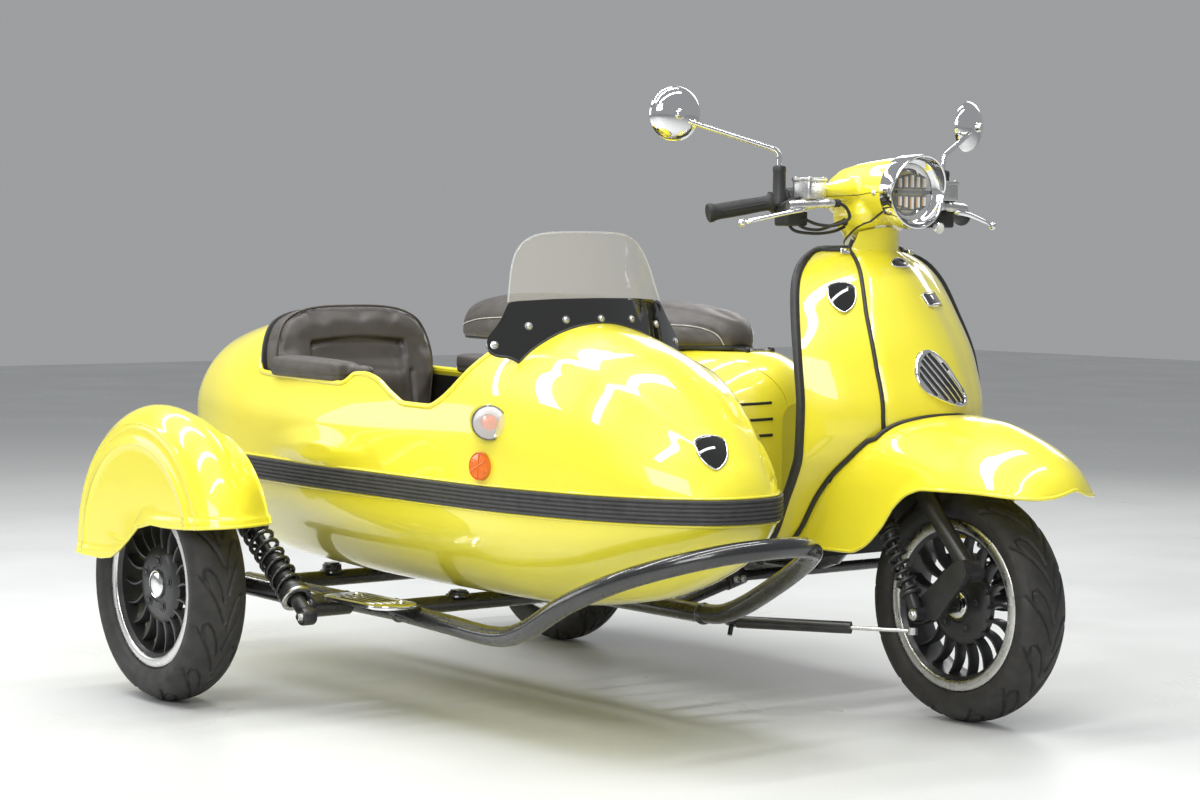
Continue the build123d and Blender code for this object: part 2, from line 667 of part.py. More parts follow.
def car_faces(inset, up):
    """Sections of the upper (up 1) or lower (up -1) half, or of the hollow inside it."""
    faces = []
    last = len(CAR_TABLE) - 1
    for place, (x, half_width, crown_height, keel) in enumerate(CAR_TABLE):
        height = crown_height if up > 0 else keel
        shift = inset if place == 0 else (-inset if place == last else 0)
        over = 1 if inset else 0
        width = max(half_width - inset, 10)
        rise = max(height - inset + over, 12)
        faces.append(arch_face(x + shift, CAR_Y, BELT_Z - up * over, width, rise, up=up, corner=0.66))
    return faces


shell_outer = loft(car_faces(0, 1))
shell_inner = loft(car_faces(SHELL_WALL, 1))
hull_outer = loft(car_faces(0, -1))
hull_inner = loft(car_faces(SHELL_WALL, -1))
# Side-view line (x, z) of the cockpit's rim
RIM_LINE = [
    (-20, 900), (10, 650), (400, 637), (416, 662), (530, 660), (600, 634), (660, 613), (800, 613),
    (900, 660), (945, 720), (985, 800), (985, 900),
]
cockpit_cut = side_plate(RIM_LINE, CAR_Y - 400, CAR_Y + 400)
shell = shell_outer - shell_inner - cockpit_cut
add("sidecar_shell", shell)
hull = hull_outer - hull_inner
add("sidecar_hull", hull)


def belt_faces(grow):
    faces = []
    last = len(CAR_TABLE) - 1
    for place, (x, half_width, _, _) in enumerate(CAR_TABLE):
        shift = -grow if place == 0 else (grow if place == last else 0)
        plane = Plane((x + shift, CAR_Y, BELT_Z), x_dir=(0, 1, 0), z_dir=(1, 0, 0))
        faces.append(plane * Rectangle(2 * (half_width + grow), BELT_HEIGHT))
    return faces


add("belt_strip", loft(belt_faces(BELT_PROUD)) - loft(belt_faces(BELT_GAP)))

# Windscreen: a leaning curved sheet, clear above and black where it is bolted on
SCREEN_WALL = 4
SCREEN_FOOT = 690
SCREEN_BAND = 122
SCREEN_CLEAR = 135
SCREEN_LEAN = 80 / 270
SCREEN_FOOT_X = 1012
SCREEN_SAG = 72
SCREEN_SPLIT = SCREEN_FOOT + SCREEN_BAND


def screen_band(z, centre_x, half_width, sag, thickness):
    front = ThreePointArc((centre_x - sag, -half_width), (centre_x, 0), (centre_x - sag, half_width))
    back_x = centre_x - thickness
    back = ThreePointArc((back_x - sag, half_width), (back_x, 0), (back_x - sag, -half_width))
    return Plane((0, CAR_Y, z)) * make_face([
        front,
        Line((centre_x - sag, half_width), (back_x - sag, half_width)),
        back,
        Line((back_x - sag, -half_width), (centre_x - sag, -half_width)),
    ])


SCREEN_TOP = SCREEN_SPLIT + SCREEN_CLEAR
screen_sections = []
for z in (SCREEN_FOOT, SCREEN_TOP + 13):
    middle_x = SCREEN_FOOT_X - (z - SCREEN_FOOT) * SCREEN_LEAN
    screen_sections.append(screen_band(z, middle_x, 240, SCREEN_SAG, SCREEN_WALL))
screen = loft(screen_sections)
upper_outline = []
for side in (-1, 1):
    corner = [(172, 0), (160, 0.50), (142, 0.77), (110, 0.93), (60, 1)]
    points = [(side * y, SCREEN_SPLIT + share * SCREEN_CLEAR) for y, share in corner]
    upper_outline += points if side < 0 else points[::-1]
lower_outline = []
for side in (-1, 1):
    corner = [(172, 1), (196, 0.59), (228, 0.30), (222, 0.08)]
    points = [(side * y, SCREEN_FOOT + share * SCREEN_BAND) for y, share in corner]
    lower_outline += points if side < 0 else points[::-1]
clear = screen & (Pos(0, CAR_Y, 0) * front_plate(upper_outline, 800, 1100))
band = screen & (Pos(0, CAR_Y, 0) * front_plate(lower_outline, 800, 1100))
add("windscreen", clear - shell_outer)
add("windscreen_band", band - shell_outer)

# Sidecar upholstery
cushion = Pos(390, CAR_Y, 395) * Box(440, 400, 100)
cushion = fillet(cushion.edges().filter_by(Axis.Z), 40)
add("sidecar_seat", cushion)
back_outline = [
    (-176, 0), (-182, 120), (-178, 250), (-222, 270), (-222, 300), (-190, 345), (-120, 372),
    (120, 372), (190, 345), (222, 300), (222, 270), (178, 250), (182, 120), (176, 0),
]
BACK_LEAN = 9
back_way = (cos(radians(BACK_LEAN)), 0, sin(radians(BACK_LEAN)))
back_plane = Plane((55, CAR_Y, 405), x_dir=(0, 1, 0), z_dir=back_way)
backrest = extrude(back_plane * make_face(Polyline(*back_outline, close=True)), 100)
add("sidecar_backrest", backrest - cushion)
pads = []
for side in (-1, 1):
    pads.append(Pos(215, CAR_Y + side * 226, 664) * Box(360, 40, 24))
add("armrest_pads", pads[0] - shell_outer - backrest, pads[1] - shell_outer - backrest)

# Sidecar chassis: two long rails and cross tubes clamped to the scooter frame
OUTER_RAIL_Y = -868
INNER_RAIL_Y = -400
RAIL_Z = 205
rails = rod((60, OUTER_RAIL_Y, RAIL_Z), (640, OUTER_RAIL_Y, RAIL_Z), RAIL_RADIUS)
rails += rod((-40, INNER_RAIL_Y, RAIL_Z), (1010, INNER_RAIL_Y, RAIL_Z), RAIL_RADIUS)
for x in (120, 600):
    rails += rod((x, OUTER_RAIL_Y, RAIL_Z), (x, INNER_RAIL_Y, RAIL_Z), CROSS_RADIUS)
for x in CLAMP_XS:
    rails += rod((x, INNER_RAIL_Y, RAIL_Z), (x, CLAMP_Y - 4, CLAMP_Z - 1), 13)
for x, top in ((120, 239), (600, 231)):
    for y in (CAR_Y - 60, CAR_Y + 60):
        rails += block((x - 12, x + 12), (y - 12, y + 12), (RAIL_Z, top))
add("sidecar_chassis", rails)

crash_path = [
    (645, OUTER_RAIL_Y, RAIL_Z), (1000, OUTER_RAIL_Y, 190), (1440, -800, 372), (1500, -640, 398),
    (1440, -470, 372), (1120, INNER_RAIL_Y, 225), (1015, INNER_RAIL_Y, RAIL_Z),
]
add("crash_bar", bent_tube(crash_path, RAIL_RADIUS, 60))

# Sidecar swing arm, spring unit and stub axle
ARM_Y = -930
arm = rod((SIDE_WHEEL_LEAD, -1020, REAR_TYRE_RADIUS), (470, ARM_Y, RAIL_Z), 20)
arm += rod((470, -888, RAIL_Z), (470, ARM_Y - 24, RAIL_Z), 24)
stub_end = (SIDE_WHEEL_LEAD, -TRACK - 20, REAR_TYRE_RADIUS)
arm += rod(stub_end, (SIDE_WHEEL_LEAD, -1000, REAR_TYRE_RADIUS), AXLE_RADIUS)
arm += disc((SIDE_WHEEL_LEAD, -1060, REAR_TYRE_RADIUS), 24, 90)
add("swing_arm", arm)
UNIT_Y = ARM_Y - 66
unit = rod((262, UNIT_Y, 372), (505, UNIT_Y, 190), 12) + rod((285, UNIT_Y, 355), (455, UNIT_Y, 227), 28)
add("sidecar_shock", unit)
step = block((520, 760), (-985, -888), (226, 234))
add("step_plate", fillet(step.edges().filter_by(Axis.Z), 45))

# Sidecar wheel fender: flat outer face, rounded shoulder and a crown that falls inwards
FENDER_OUT = -1224
FENDER_IN = -1050
GUARD_X = 223
GUARD_Z = 299
GUARD_WALL = 4
guard_face = make_face([
    Line((FENDER_OUT, 5), (FENDER_OUT, 246)),
    ThreePointArc((FENDER_OUT, 246), (-1208, 283), (-1170, 299)),
    ThreePointArc((-1170, 299), (-1106, 281), (FENDER_IN, 240)),
    Line((FENDER_IN, 240), (FENDER_IN - 3, 240 - GUARD_WALL)),
    ThreePointArc((FENDER_IN - 3, 240 - GUARD_WALL), (-1107, 277), (-1171, 295)),
    ThreePointArc((-1171, 295), (-1205, 280), (FENDER_OUT + GUARD_WALL, 245)),
    Line((FENDER_OUT + GUARD_WALL, 245), (FENDER_OUT + GUARD_WALL, 5)),
    Line((FENDER_OUT + GUARD_WALL, 5), (FENDER_OUT, 5)),
])
guard_body = Pos(GUARD_X, 0, GUARD_Z) * revolve(Plane.YZ * guard_face, Axis.Y)
guard_cut = side_plate([
    (-200, 284), (100, 282), (215, 330), (262, 366), (350, 366), (600, 380), (600, -100), (-200, -100),
], -1300, -1000)
add("sidecar_fender", guard_body - guard_cut)

# Lamps on the sidecar
lamp_y = CAR_Y - 246
lamp = disc((945, lamp_y - 8, 594), 33, 44) - shell_outer
reflector = disc((948, lamp_y + 4, 510), 26, 20) - shell_outer
add("sidecar_lamps", lamp, reflector)

# Steering damper between the chassis corner and the fork link
DAMPER_Z = 182
DAMPER_PIVOT = (1000, -320)
DAMPER_EYE = (WHEELBASE - 30, -118)
SWING_WAY = (-0.173, 0.382, 0.908)
PIN_RADIUS = 5
run = vec(DAMPER_EYE[0] - DAMPER_PIVOT[0], DAMPER_EYE[1] - DAMPER_PIVOT[1], 0)
unit_dir = run.normalized()


def along_damper(length):
    return (DAMPER_PIVOT[0] + unit_dir.X * length, DAMPER_PIVOT[1] + unit_dir.Y * length, DAMPER_Z)


body = rod(along_damper(10), along_damper(240), 12) - rod(along_damper(30), along_damper(260), 5)
swing_plane = Plane(origin=(DAMPER_PIVOT[0], DAMPER_PIVOT[1], DAMPER_Z), z_dir=SWING_WAY)
body -= swing_plane * Cylinder(PIN_RADIUS + 3, 60)
body += swing_plane * (Cylinder(13, 14) - Cylinder(PIN_RADIUS + BEARING_GAP, 40))
add("damper_body", body)
rod_piece = rod(along_damper(100), along_damper(run.length), 4)
rod_piece += Pos(DAMPER_EYE[0], DAMPER_EYE[1], DAMPER_Z) * Cylinder(9, 14)
add("damper_rod", rod_piece)
bracket = block((978, 1012), (-381, -296), (201, 209))
bracket += swing_plane * Cylinder(PIN_RADIUS, 56)
add("damper_bracket", bracket)

# Move everything so that the origin lies under the middle of the outfit, and write the nodes
whole = Compound(children=[Compound(children=list(piece.solids())) for piece in PARTS.values()])
box = whole.bounding_box()
MIDDLE = ((box.min.X + box.max.X) / 2, (box.min.Y + box.max.Y) / 2, box.min.Z)
os.makedirs("parts", exist_ok=True)
for name, piece in PARTS.items():
    placed = Pos(-MIDDLE[0], -MIDDLE[1], -MIDDLE[2]) * Compound(children=list(piece.solids()))
    export_step(placed, f"parts/{name}.step")
print("moved by", [round(-value, 3) for value in MIDDLE], "size", box.size)
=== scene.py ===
import json
from math import atan2, cos, degrees, pi, radians, sin, sqrt

import bmesh
import bpy
import numpy as np
from mathutils import Matrix, Vector
from mathutils.bvhtree import BVHTree


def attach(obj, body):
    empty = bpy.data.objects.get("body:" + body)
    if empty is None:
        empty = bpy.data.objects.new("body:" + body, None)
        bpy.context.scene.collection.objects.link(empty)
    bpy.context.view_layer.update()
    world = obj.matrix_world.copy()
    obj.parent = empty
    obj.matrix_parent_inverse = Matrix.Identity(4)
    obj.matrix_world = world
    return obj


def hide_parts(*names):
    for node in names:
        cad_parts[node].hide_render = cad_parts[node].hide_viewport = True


# The scooter with its sidecar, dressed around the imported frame. All lengths are in metres.
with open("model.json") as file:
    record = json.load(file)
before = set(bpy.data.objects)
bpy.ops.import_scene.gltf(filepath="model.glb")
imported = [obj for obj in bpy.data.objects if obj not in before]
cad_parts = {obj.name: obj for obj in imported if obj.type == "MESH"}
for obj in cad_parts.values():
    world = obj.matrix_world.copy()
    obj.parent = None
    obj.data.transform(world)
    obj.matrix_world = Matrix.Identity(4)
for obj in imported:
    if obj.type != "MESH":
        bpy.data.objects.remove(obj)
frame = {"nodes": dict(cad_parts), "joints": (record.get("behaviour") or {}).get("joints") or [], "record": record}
NODES = frame["nodes"]
JOINTS = {joint["name"]: joint for joint in frame["joints"]}
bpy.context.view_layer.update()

# Places are laid out from the ground point under the rear axle, as in the part's own drawing:
# +X forward, +Y to the rider's left. The frame's origin is elsewhere, so at() moves each point over.
REAR_RADIUS = 0.236
FRONT_RADIUS = 0.2295
WHEELBASE = 1.330
TRACK = 1.144
SIDE_LEAD = 0.216
CAR_Y = -0.640
BELT_Z = 0.453
rear_hub = Vector(JOINTS["rear_wheel_spin"]["pos_m"])
MOVE = rear_hub - Vector((0, 0, REAR_RADIUS))


def at(x, y, z):
    return Vector((x, y, z)) + MOVE


# Camera: matched to the photograph, whose frame is 1200 pixels wide
FOCAL_PIXELS = 2670
FRAME_WIDTH = 1200
SENSOR = 36.0
CAMERA_AT = (4.993, -3.720, 0.922)
AZIMUTH = radians(52.47)
PITCH_DOWN = radians(3.317)
ROLL = radians(0.353)


def make_camera():
    look = Vector((-sin(AZIMUTH) * cos(PITCH_DOWN), cos(AZIMUTH) * cos(PITCH_DOWN), -sin(PITCH_DOWN)))
    right = Vector((cos(AZIMUTH), sin(AZIMUTH), 0))
    up = right.cross(look)
    side = right * cos(ROLL) + up * sin(ROLL)
    top = up * cos(ROLL) - right * sin(ROLL)
    data = bpy.data.cameras.new("camera")
    data.sensor_width = SENSOR
    data.lens = FOCAL_PIXELS / FRAME_WIDTH * SENSOR
    data.clip_end = 60
    camera = bpy.data.objects.new("camera", data)
    matrix = Matrix((side, top, -look)).transposed().to_4x4()
    matrix.translation = at(*CAMERA_AT)
    camera.matrix_world = matrix
    bpy.context.scene.collection.objects.link(camera)
    bpy.context.scene.camera = camera


# Light: a pale studio with long soft boxes overhead and one large box on the camera's side
def add_light(name, place, target, size, power, colour=(1, 1, 1)):
    data = bpy.data.lights.new(name, "AREA")
    data.shape = "RECTANGLE"
    data.size, data.size_y = size
    data.energy = power
    data.color = colour
    lamp = bpy.data.objects.new(name, data)
    lamp.location = at(*place)
    lamp.rotation_euler = (at(*target) - lamp.location).to_track_quat("-Z", "Y").to_euler()
    bpy.context.scene.collection.objects.link(lamp)


def make_lights():
    for place in range(4):
        x = 2.4 - 1.5 * place
        add_light(f"strip_{place}", (x, -1.2, 3.4), (x, -0.6, 0), (0.28, 4.2), 70)
    add_light("key", (3.6, -4.6, 2.6), (0.6, -0.5, 0.4), (2.6, 1.6), 95)
    add_light("fill", (-3.4, -4.2, 1.8), (0.3, -0.6, 0.4), (2.4, 1.8), 42)
    add_light("back", (-1.5, 3.6, 2.8), (0.5, 0, 0.5), (3.0, 1.4), 60)
    world = bpy.data.worlds.new("studio")
    world.use_nodes = True
    world.node_tree.nodes["Background"].inputs[0].default_value = (0.80, 0.82, 0.84, 1)
    world.node_tree.nodes["Background"].inputs[1].default_value = 0.42
    bpy.context.scene.world = world
    bpy.context.scene.view_settings.view_transform = "Standard"


# Shader helpers; the noise's usable values lie in this span
NOISE_SPAN = (0.35, 0.65)


def new_material(name, colour, rough, metal=0.0, coat=0.0, coat_rough=0.03, alpha=1.0):
    material = bpy.data.materials.new(name)
    material.use_nodes = True
    shader = material.node_tree.nodes["Principled BSDF"]
    shader.inputs["Base Color"].default_value = (*colour, 1)
    shader.inputs["Roughness"].default_value = rough
    shader.inputs["Metallic"].default_value = metal
    shader.inputs["Coat Weight"].default_value = coat
    shader.inputs["Coat Roughness"].default_value = coat_rough
    shader.inputs["Alpha"].default_value = alpha
    shader.inputs["Transmission Weight"].default_value = 0.0
    shader.inputs["IOR"].default_value = 1.5
    return material


def noise(material, scale, detail=4.0):
    tree = material.node_tree
    place = tree.nodes.new("ShaderNodeTexCoord")
    texture = tree.nodes.new("ShaderNodeTexNoise")
    texture.inputs["Scale"].default_value = scale
    texture.inputs["Detail"].default_value = detail
    tree.links.new(place.outputs["Object"], texture.inputs["Vector"])
    return texture.outputs["Fac"]


def tint(material, value, low, high):
    """Base colour that goes from low to high with the value."""
    tree = material.node_tree
    node = tree.nodes.new("ShaderNodeValToRGB")
    for element, place, colour in zip(node.color_ramp.elements, NOISE_SPAN, (low, high)):
        element.position = place
        element.color = (*colour, 1)
    tree.links.new(value, node.inputs["Fac"])
    tree.links.new(node.outputs["Color"], tree.nodes["Principled BSDF"].inputs["Base Color"])


def bump(material, value, strength, distance):
    tree = material.node_tree
    node = tree.nodes.new("ShaderNodeBump")
    node.inputs["Strength"].default_value = strength
    node.inputs["Distance"].default_value = distance
    tree.links.new(value, node.inputs["Height"])
    tree.links.new(node.outputs["Normal"], tree.nodes["Principled BSDF"].inputs["Normal"])


def vary(material, value, low, high):
    """Roughness that goes from low to high with the value."""
    tree = material.node_tree
    node = tree.nodes.new("ShaderNodeMapRange")
    for socket, number in zip(("From Min", "From Max", "To Min", "To Max"), (*NOISE_SPAN, low, high)):
        node.inputs[socket].default_value = number
    tree.links.new(value, node.inputs["Value"])
    tree.links.new(node.outputs["Result"], tree.nodes["Principled BSDF"].inputs["Roughness"])


MATERIALS = {}


def finish(name, colour, rough, tones=None, gloss=None, grain=None, **extras):
    """Material whose noise tints it (tones: scale, low, high), varies its roughness (gloss: the same)
    and gives it a fine texture (grain: scale, strength, distance)."""
    material = MATERIALS[name] = new_material(name, colour, rough, **extras)
    if tones:
        tint(material, noise(material, tones[0]), *tones[1:])
    if gloss:
        vary(material, noise(material, gloss[0]), *gloss[1:])
    if grain:
        bump(material, noise(material, grain[0]), *grain[1:])
    return material


def soft_rubber(name, grey, rough):
    finish(name, (grey,) * 3, rough, (60, (grey * 0.85,) * 3, (grey * 1.2,) * 3), grain=(600, 0.15, 0.0003))


def leather_grain(material):
    """Fine cells of embossed vinyl."""
    tree = material.node_tree
    place = tree.nodes.new("ShaderNodeTexCoord")
    cells = tree.nodes.new("ShaderNodeTexVoronoi")
    cells.inputs["Scale"].default_value = 620
    cells.feature = "DISTANCE_TO_EDGE"
    tree.links.new(place.outputs["Object"], cells.inputs["Vector"])
    bump(material, cells.outputs["Distance"], 0.35, 0.0004)


def make_materials():
    finish("yellow_paint", (0.83, 0.74, 0.035), 0.32, (2.2, (0.81, 0.715, 0.032), (0.85, 0.765, 0.04)),
           (9.0, 0.28, 0.36), coat=1.0, coat_rough=0.02)
    finish("black_frame", (0.012, 0.012, 0.013), 0.25, (14, (0.010, 0.010, 0.011), (0.017, 0.017, 0.018)),
           (30, 0.2, 0.34), coat=0.8, coat_rough=0.04)
    finish("cast_black", (0.018, 0.018, 0.019), 0.42, (26, (0.014, 0.014, 0.015), (0.024, 0.024, 0.025)),
           grain=(420, 0.18, 0.0004), coat=0.25, coat_rough=0.2)
    finish("engine_metal", (0.22, 0.22, 0.22), 0.5, (18, (0.17, 0.17, 0.17), (0.27, 0.27, 0.27)),
           grain=(300, 0.25, 0.0006), metal=0.9)
    finish("chrome", (0.82, 0.82, 0.83), 0.05, gloss=(12, 0.035, 0.08), metal=1.0)
    finish("silver", (0.62, 0.62, 0.61), 0.28, gloss=(60, 0.22, 0.36), metal=1.0)
    finish("tyre", (0.022, 0.021, 0.020), 0.62, (40, (0.018, 0.0175, 0.017), (0.030, 0.028, 0.026)),
           (22, 0.52, 0.72), (500, 0.12, 0.0004))
    soft_rubber("rubber_strip", 0.045, 0.55)
    soft_rubber("trim_rubber", 0.02, 0.45)
    soft_rubber("grip_rubber", 0.016, 0.6)
    leather_grain(finish("vinyl", (0.060, 0.054, 0.050), 0.48,
                         (16, (0.054, 0.048, 0.044), (0.070, 0.062, 0.057)), (35, 0.42, 0.56)))
    finish("black_plastic", (0.02, 0.02, 0.021), 0.5, (30, (0.017, 0.017, 0.018), (0.026, 0.026, 0.027)),
           grain=(700, 0.2, 0.0003))
    finish("black_acrylic", (0.008, 0.008, 0.008), 0.06, coat=1.0)
    soft_rubber("piping", 0.42, 0.6)
    finish("lamp_white", (0.9, 0.9, 0.88), 0.25, coat=0.6)
    finish("lamp_warm", (1.0, 0.55, 0.12), 0.25, coat=0.6)
    finish("mirror_glass", (0.9, 0.9, 0.92), 0.01, metal=1.0)
    finish("clear_screen", (0.55, 0.52, 0.44), 0.03, gloss=(10, 0.03, 0.03 * 1.6), alpha=0.22, coat=0.5)
    finish("lens_clear", (0.92, 0.94, 0.95), 0.03, gloss=(10, 0.03, 0.03 * 1.6), alpha=0.18, coat=0.5)
    finish("lens_red", (0.5, 0.01, 0.01), 0.12, coat=0.8)
    finish("lens_amber", (0.75, 0.16, 0.01), 0.12, coat=0.8)


def dress_frame():
    """Every carried-over node takes the finish of its slot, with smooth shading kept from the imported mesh."""
    for row in frame["record"]["subparts"]:
        node = NODES[row["node"]]
        node.data.materials.clear()
        node.data.materials.append(MATERIALS[row["material_slot"]])


def make_floor():
    size = 14
    mesh = bpy.data.meshes.new("floor")
    corners = [(-size, -size, 0), (size, -size, 0), (size, size, 0), (-size, size, 0)]
    mesh.from_pydata(corners, [], [(0, 1, 2, 3)])
    floor = bpy.data.objects.new("floor", mesh)
    bpy.context.scene.collection.objects.link(floor)
    mesh.materials.append(finish("floor", (0.66, 0.67, 0.66), 0.32, gloss=(1.4, 0.26, 0.40)))


# Mesh helpers
def link(name, verts, faces, material, smooth_shade=True):
    mesh = bpy.data.meshes.new(name)
    mesh.from_pydata([tuple(v) for v in verts], [], faces)
    mesh.validate()
    mesh.materials.append(MATERIALS[material])
    for polygon in mesh.polygons:
        polygon.use_smooth = smooth_shade
    piece = bpy.data.objects.new(name, mesh)
    bpy.context.scene.collection.objects.link(piece)
    return piece


def grid_faces(rows, columns, close_rows=False, close_columns=False):
    """Quads of a grid whose vertices run along the columns first."""
    faces = []
    for row in range(rows if close_rows else rows - 1):
        for column in range(columns if close_columns else columns - 1):
            nxt_row, nxt_column = (row + 1) % rows, (column + 1) % columns
            faces.append((row * columns + column, row * columns + nxt_column,
                          nxt_row * columns + nxt_column, nxt_row * columns + column))
    return faces


def apply_modifiers(piece):
    graph = bpy.context.evaluated_depsgraph_get()
    mesh = bpy.data.meshes.new_from_object(piece.evaluated_get(graph))
    old = piece.data
    piece.modifiers.clear()
    piece.data = mesh
    bpy.data.meshes.remove(old)
    return piece


def outward(piece):
    """Turn every face of a closed mesh outwards."""
    shape = bmesh.new()
    shape.from_mesh(piece.data)
    bmesh.ops.recalc_face_normals(shape, faces=shape.faces)
    shape.to_mesh(piece.data)
    shape.free()
    return piece


def join(name, pieces):
    """One mesh from several, keeping their materials."""
    target = pieces[0]
    with bpy.context.temp_override(active_object=target, selected_editable_objects=pieces):
        bpy.ops.object.join()
    target.name = name
    return target


def finish_piece(piece, body, replaces=()):
    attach(piece, body)
    if replaces:
        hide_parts(*replaces)
    return piece


def gather(name, parts, body, replaces=()):
    """One finished piece from several parts."""
    return finish_piece(join(name, parts), body, replaces)


def put(points):
    """Vertex list in the frame for a grid of drawing points."""
    return (points + np.array(MOVE)).reshape(-1, 3).tolist()


def shifted(points):
    """Path in the frame through drawing points."""
    return [Vector(point) + MOVE for point in points]


def rod(low, high, radius):
    """Profile of a plain round pin."""
    return [(low, 0), (low, radius), (high, radius), (high, 0)]


def arc_points(start, middle, end, count):
    """Points along the circle through three (a, b) points, ends included."""
    (ax, ay), (bx, by), (cx, cy) = start, middle, end
    d = 2 * (ax * (by - cy) + bx * (cy - ay) + cx * (ay - by))
    ux = ((ax**2 + ay**2) * (by - cy) + (bx**2 + by**2) * (cy - ay) + (cx**2 + cy**2) * (ay - by)) / d
    uy = ((ax**2 + ay**2) * (cx - bx) + (bx**2 + by**2) * (ax - cx) + (cx**2 + cy**2) * (bx - ax)) / d
    radius = sqrt((ax - ux) ** 2 + (ay - uy) ** 2)
    first, mid, last = (atan2(y - uy, x - ux) for x, y in (start, middle, end))
    while mid < first:
        mid += 2 * pi
    while last < mid:
        last += 2 * pi
    if last - first > 2 * pi:
        first, mid, last = (atan2(y - uy, x - ux) for x, y in (start, middle, end))
        while mid > first:
            mid -= 2 * pi
        while last > mid:
            last -= 2 * pi
    angles = [first + (last - first) * step / (count - 1) for step in range(count)]
    return [(ux + radius * cos(angle), uy + radius * sin(angle)) for angle in angles]


def lathe(name, profile, centre, material, segments=96, axis="Y", closed=False):
    """Turn a profile of (along, radius) points about an axis through the centre."""
    verts = []
    for step in range(segments):
        angle = 2 * pi * step / segments
        for along, radius in profile:
            a, b = radius * cos(angle), radius * sin(angle)
            offset = {"Y": (a, along, b), "X": (along, a, b), "Z": (a, b, along)}[axis]
            verts.append(centre + Vector(offset))
    faces = grid_faces(segments, len(profile), close_rows=True, close_columns=closed)
    piece = link(name, verts, faces, material)
    shape = bmesh.new()
    shape.from_mesh(piece.data)
    bmesh.ops.remove_doubles(shape, verts=shape.verts, dist=1e-6)
    bmesh.ops.recalc_face_normals(shape, faces=shape.faces)
    shape.to_mesh(piece.data)
    shape.free()
    return piece


def crease(piece, angle=35):
    """Sharp edges where faces meet at more than an angle, smooth elsewhere."""
    piece.data.set_sharp_from_angle(angle=radians(angle))
    return piece


def spline_points(points, per_span=10, closed=False):
    """Smooth curve through a few points (centripetal Catmull-Rom)."""
    points = [Vector(p) for p in points]
    count = len(points)
    out = []
    spans = count if closed else count - 1
    for span in range(spans):
        if closed:
            p0, p1, p2, p3 = (points[(span + k) % count] for k in (-1, 0, 1, 2))
        else:
            p1, p2 = points[span], points[span + 1]
            p0 = points[span - 1] if span > 0 else p1 * 2 - p2
            p3 = points[span + 2] if span + 2 < count else p2 * 2 - p1
        knots = [0.0]
        for a, b in ((p0, p1), (p1, p2), (p2, p3)):
            knots.append(knots[-1] + max((b - a).length, 1e-9) ** 0.5)
        t0, t1, t2, t3 = knots
        for step in range(per_span):
            t = t1 + (t2 - t1) * step / per_span
            a1 = p0 * ((t1 - t) / (t1 - t0)) + p1 * ((t - t0) / (t1 - t0))
            a2 = p1 * ((t2 - t) / (t2 - t1)) + p2 * ((t - t1) / (t2 - t1))
            a3 = p2 * ((t3 - t) / (t3 - t2)) + p3 * ((t - t2) / (t3 - t2))
            b1 = a1 * ((t2 - t) / (t2 - t0)) + a2 * ((t - t0) / (t2 - t0))
            b2 = a2 * ((t3 - t) / (t3 - t1)) + a3 * ((t - t1) / (t3 - t1))
            out.append(b1 * ((t2 - t) / (t2 - t1)) + b2 * ((t - t1) / (t2 - t1)))
    if not closed:
        out.append(points[-1].copy())
    return out


def tube(name, path, radius, material, sides=16, closed=False, flatten=1.0):
    """Round tube along a list of points; radius may be a list, one for each point."""
    path = [Vector(p) for p in path]
    count = len(path)
    radii = radius if isinstance(radius, (list, tuple)) else [radius] * count
    verts = []
    normal = None
    for place, point in enumerate(path):
        if closed:
            along = (path[(place + 1) % count] - path[place - 1]).normalized()
        else:
            along = (path[min(place + 1, count - 1)] - path[max(place - 1, 0)]).normalized()
        if normal is None:
            normal = along.orthogonal().normalized()
        normal = (normal - along * normal.dot(along)).normalized()
        across = along.cross(normal)
        for side in range(sides):
            angle = 2 * pi * side / sides
            verts.append(point + (normal * cos(angle) + across * sin(angle) * flatten) * radii[place])
    faces = grid_faces(count, sides, close_rows=closed, close_columns=True)
    if not closed:
        faces.append(tuple(range(sides))[::-1])
        faces.append(tuple(range((count - 1) * sides, count * sides)))
    piece = link(name, verts, faces, material)
    outward(piece)
    return crease(piece, 50)


def bead(name, path, radius, material, sides=8, closed=False):
    """Round tube on the root that stands as a piece of its own."""
    return finish_piece(tube(name, path, radius, material, sides, closed), "root")


# Tyres: crown with cut grooves, smooth walls with moulded rings
BEAD_RADIUS = 0.1524
FLANGE_RADIUS = 0.1665
RIM_HALF = 0.043
FLANGE = 0.005
GROOVE_DEPTH = 0.0042
GROOVE_HALF = 0.0026
TREAD_REPEATS = 13
# One motif, as shares of its repeat along the tread and metres from the centre line
SWEEP_GROOVE = [(0.02, 0.003), (0.24, 0.012), (0.50, 0.027), (0.74, 0.045), (0.90, 0.060)]
HOOK_GROOVE = [(0.40, 0.005), (0.62, 0.010), (0.86, 0.020), (0.99, 0.033), (0.96, 0.043), (0.84, 0.044),
               (0.66, 0.037)]


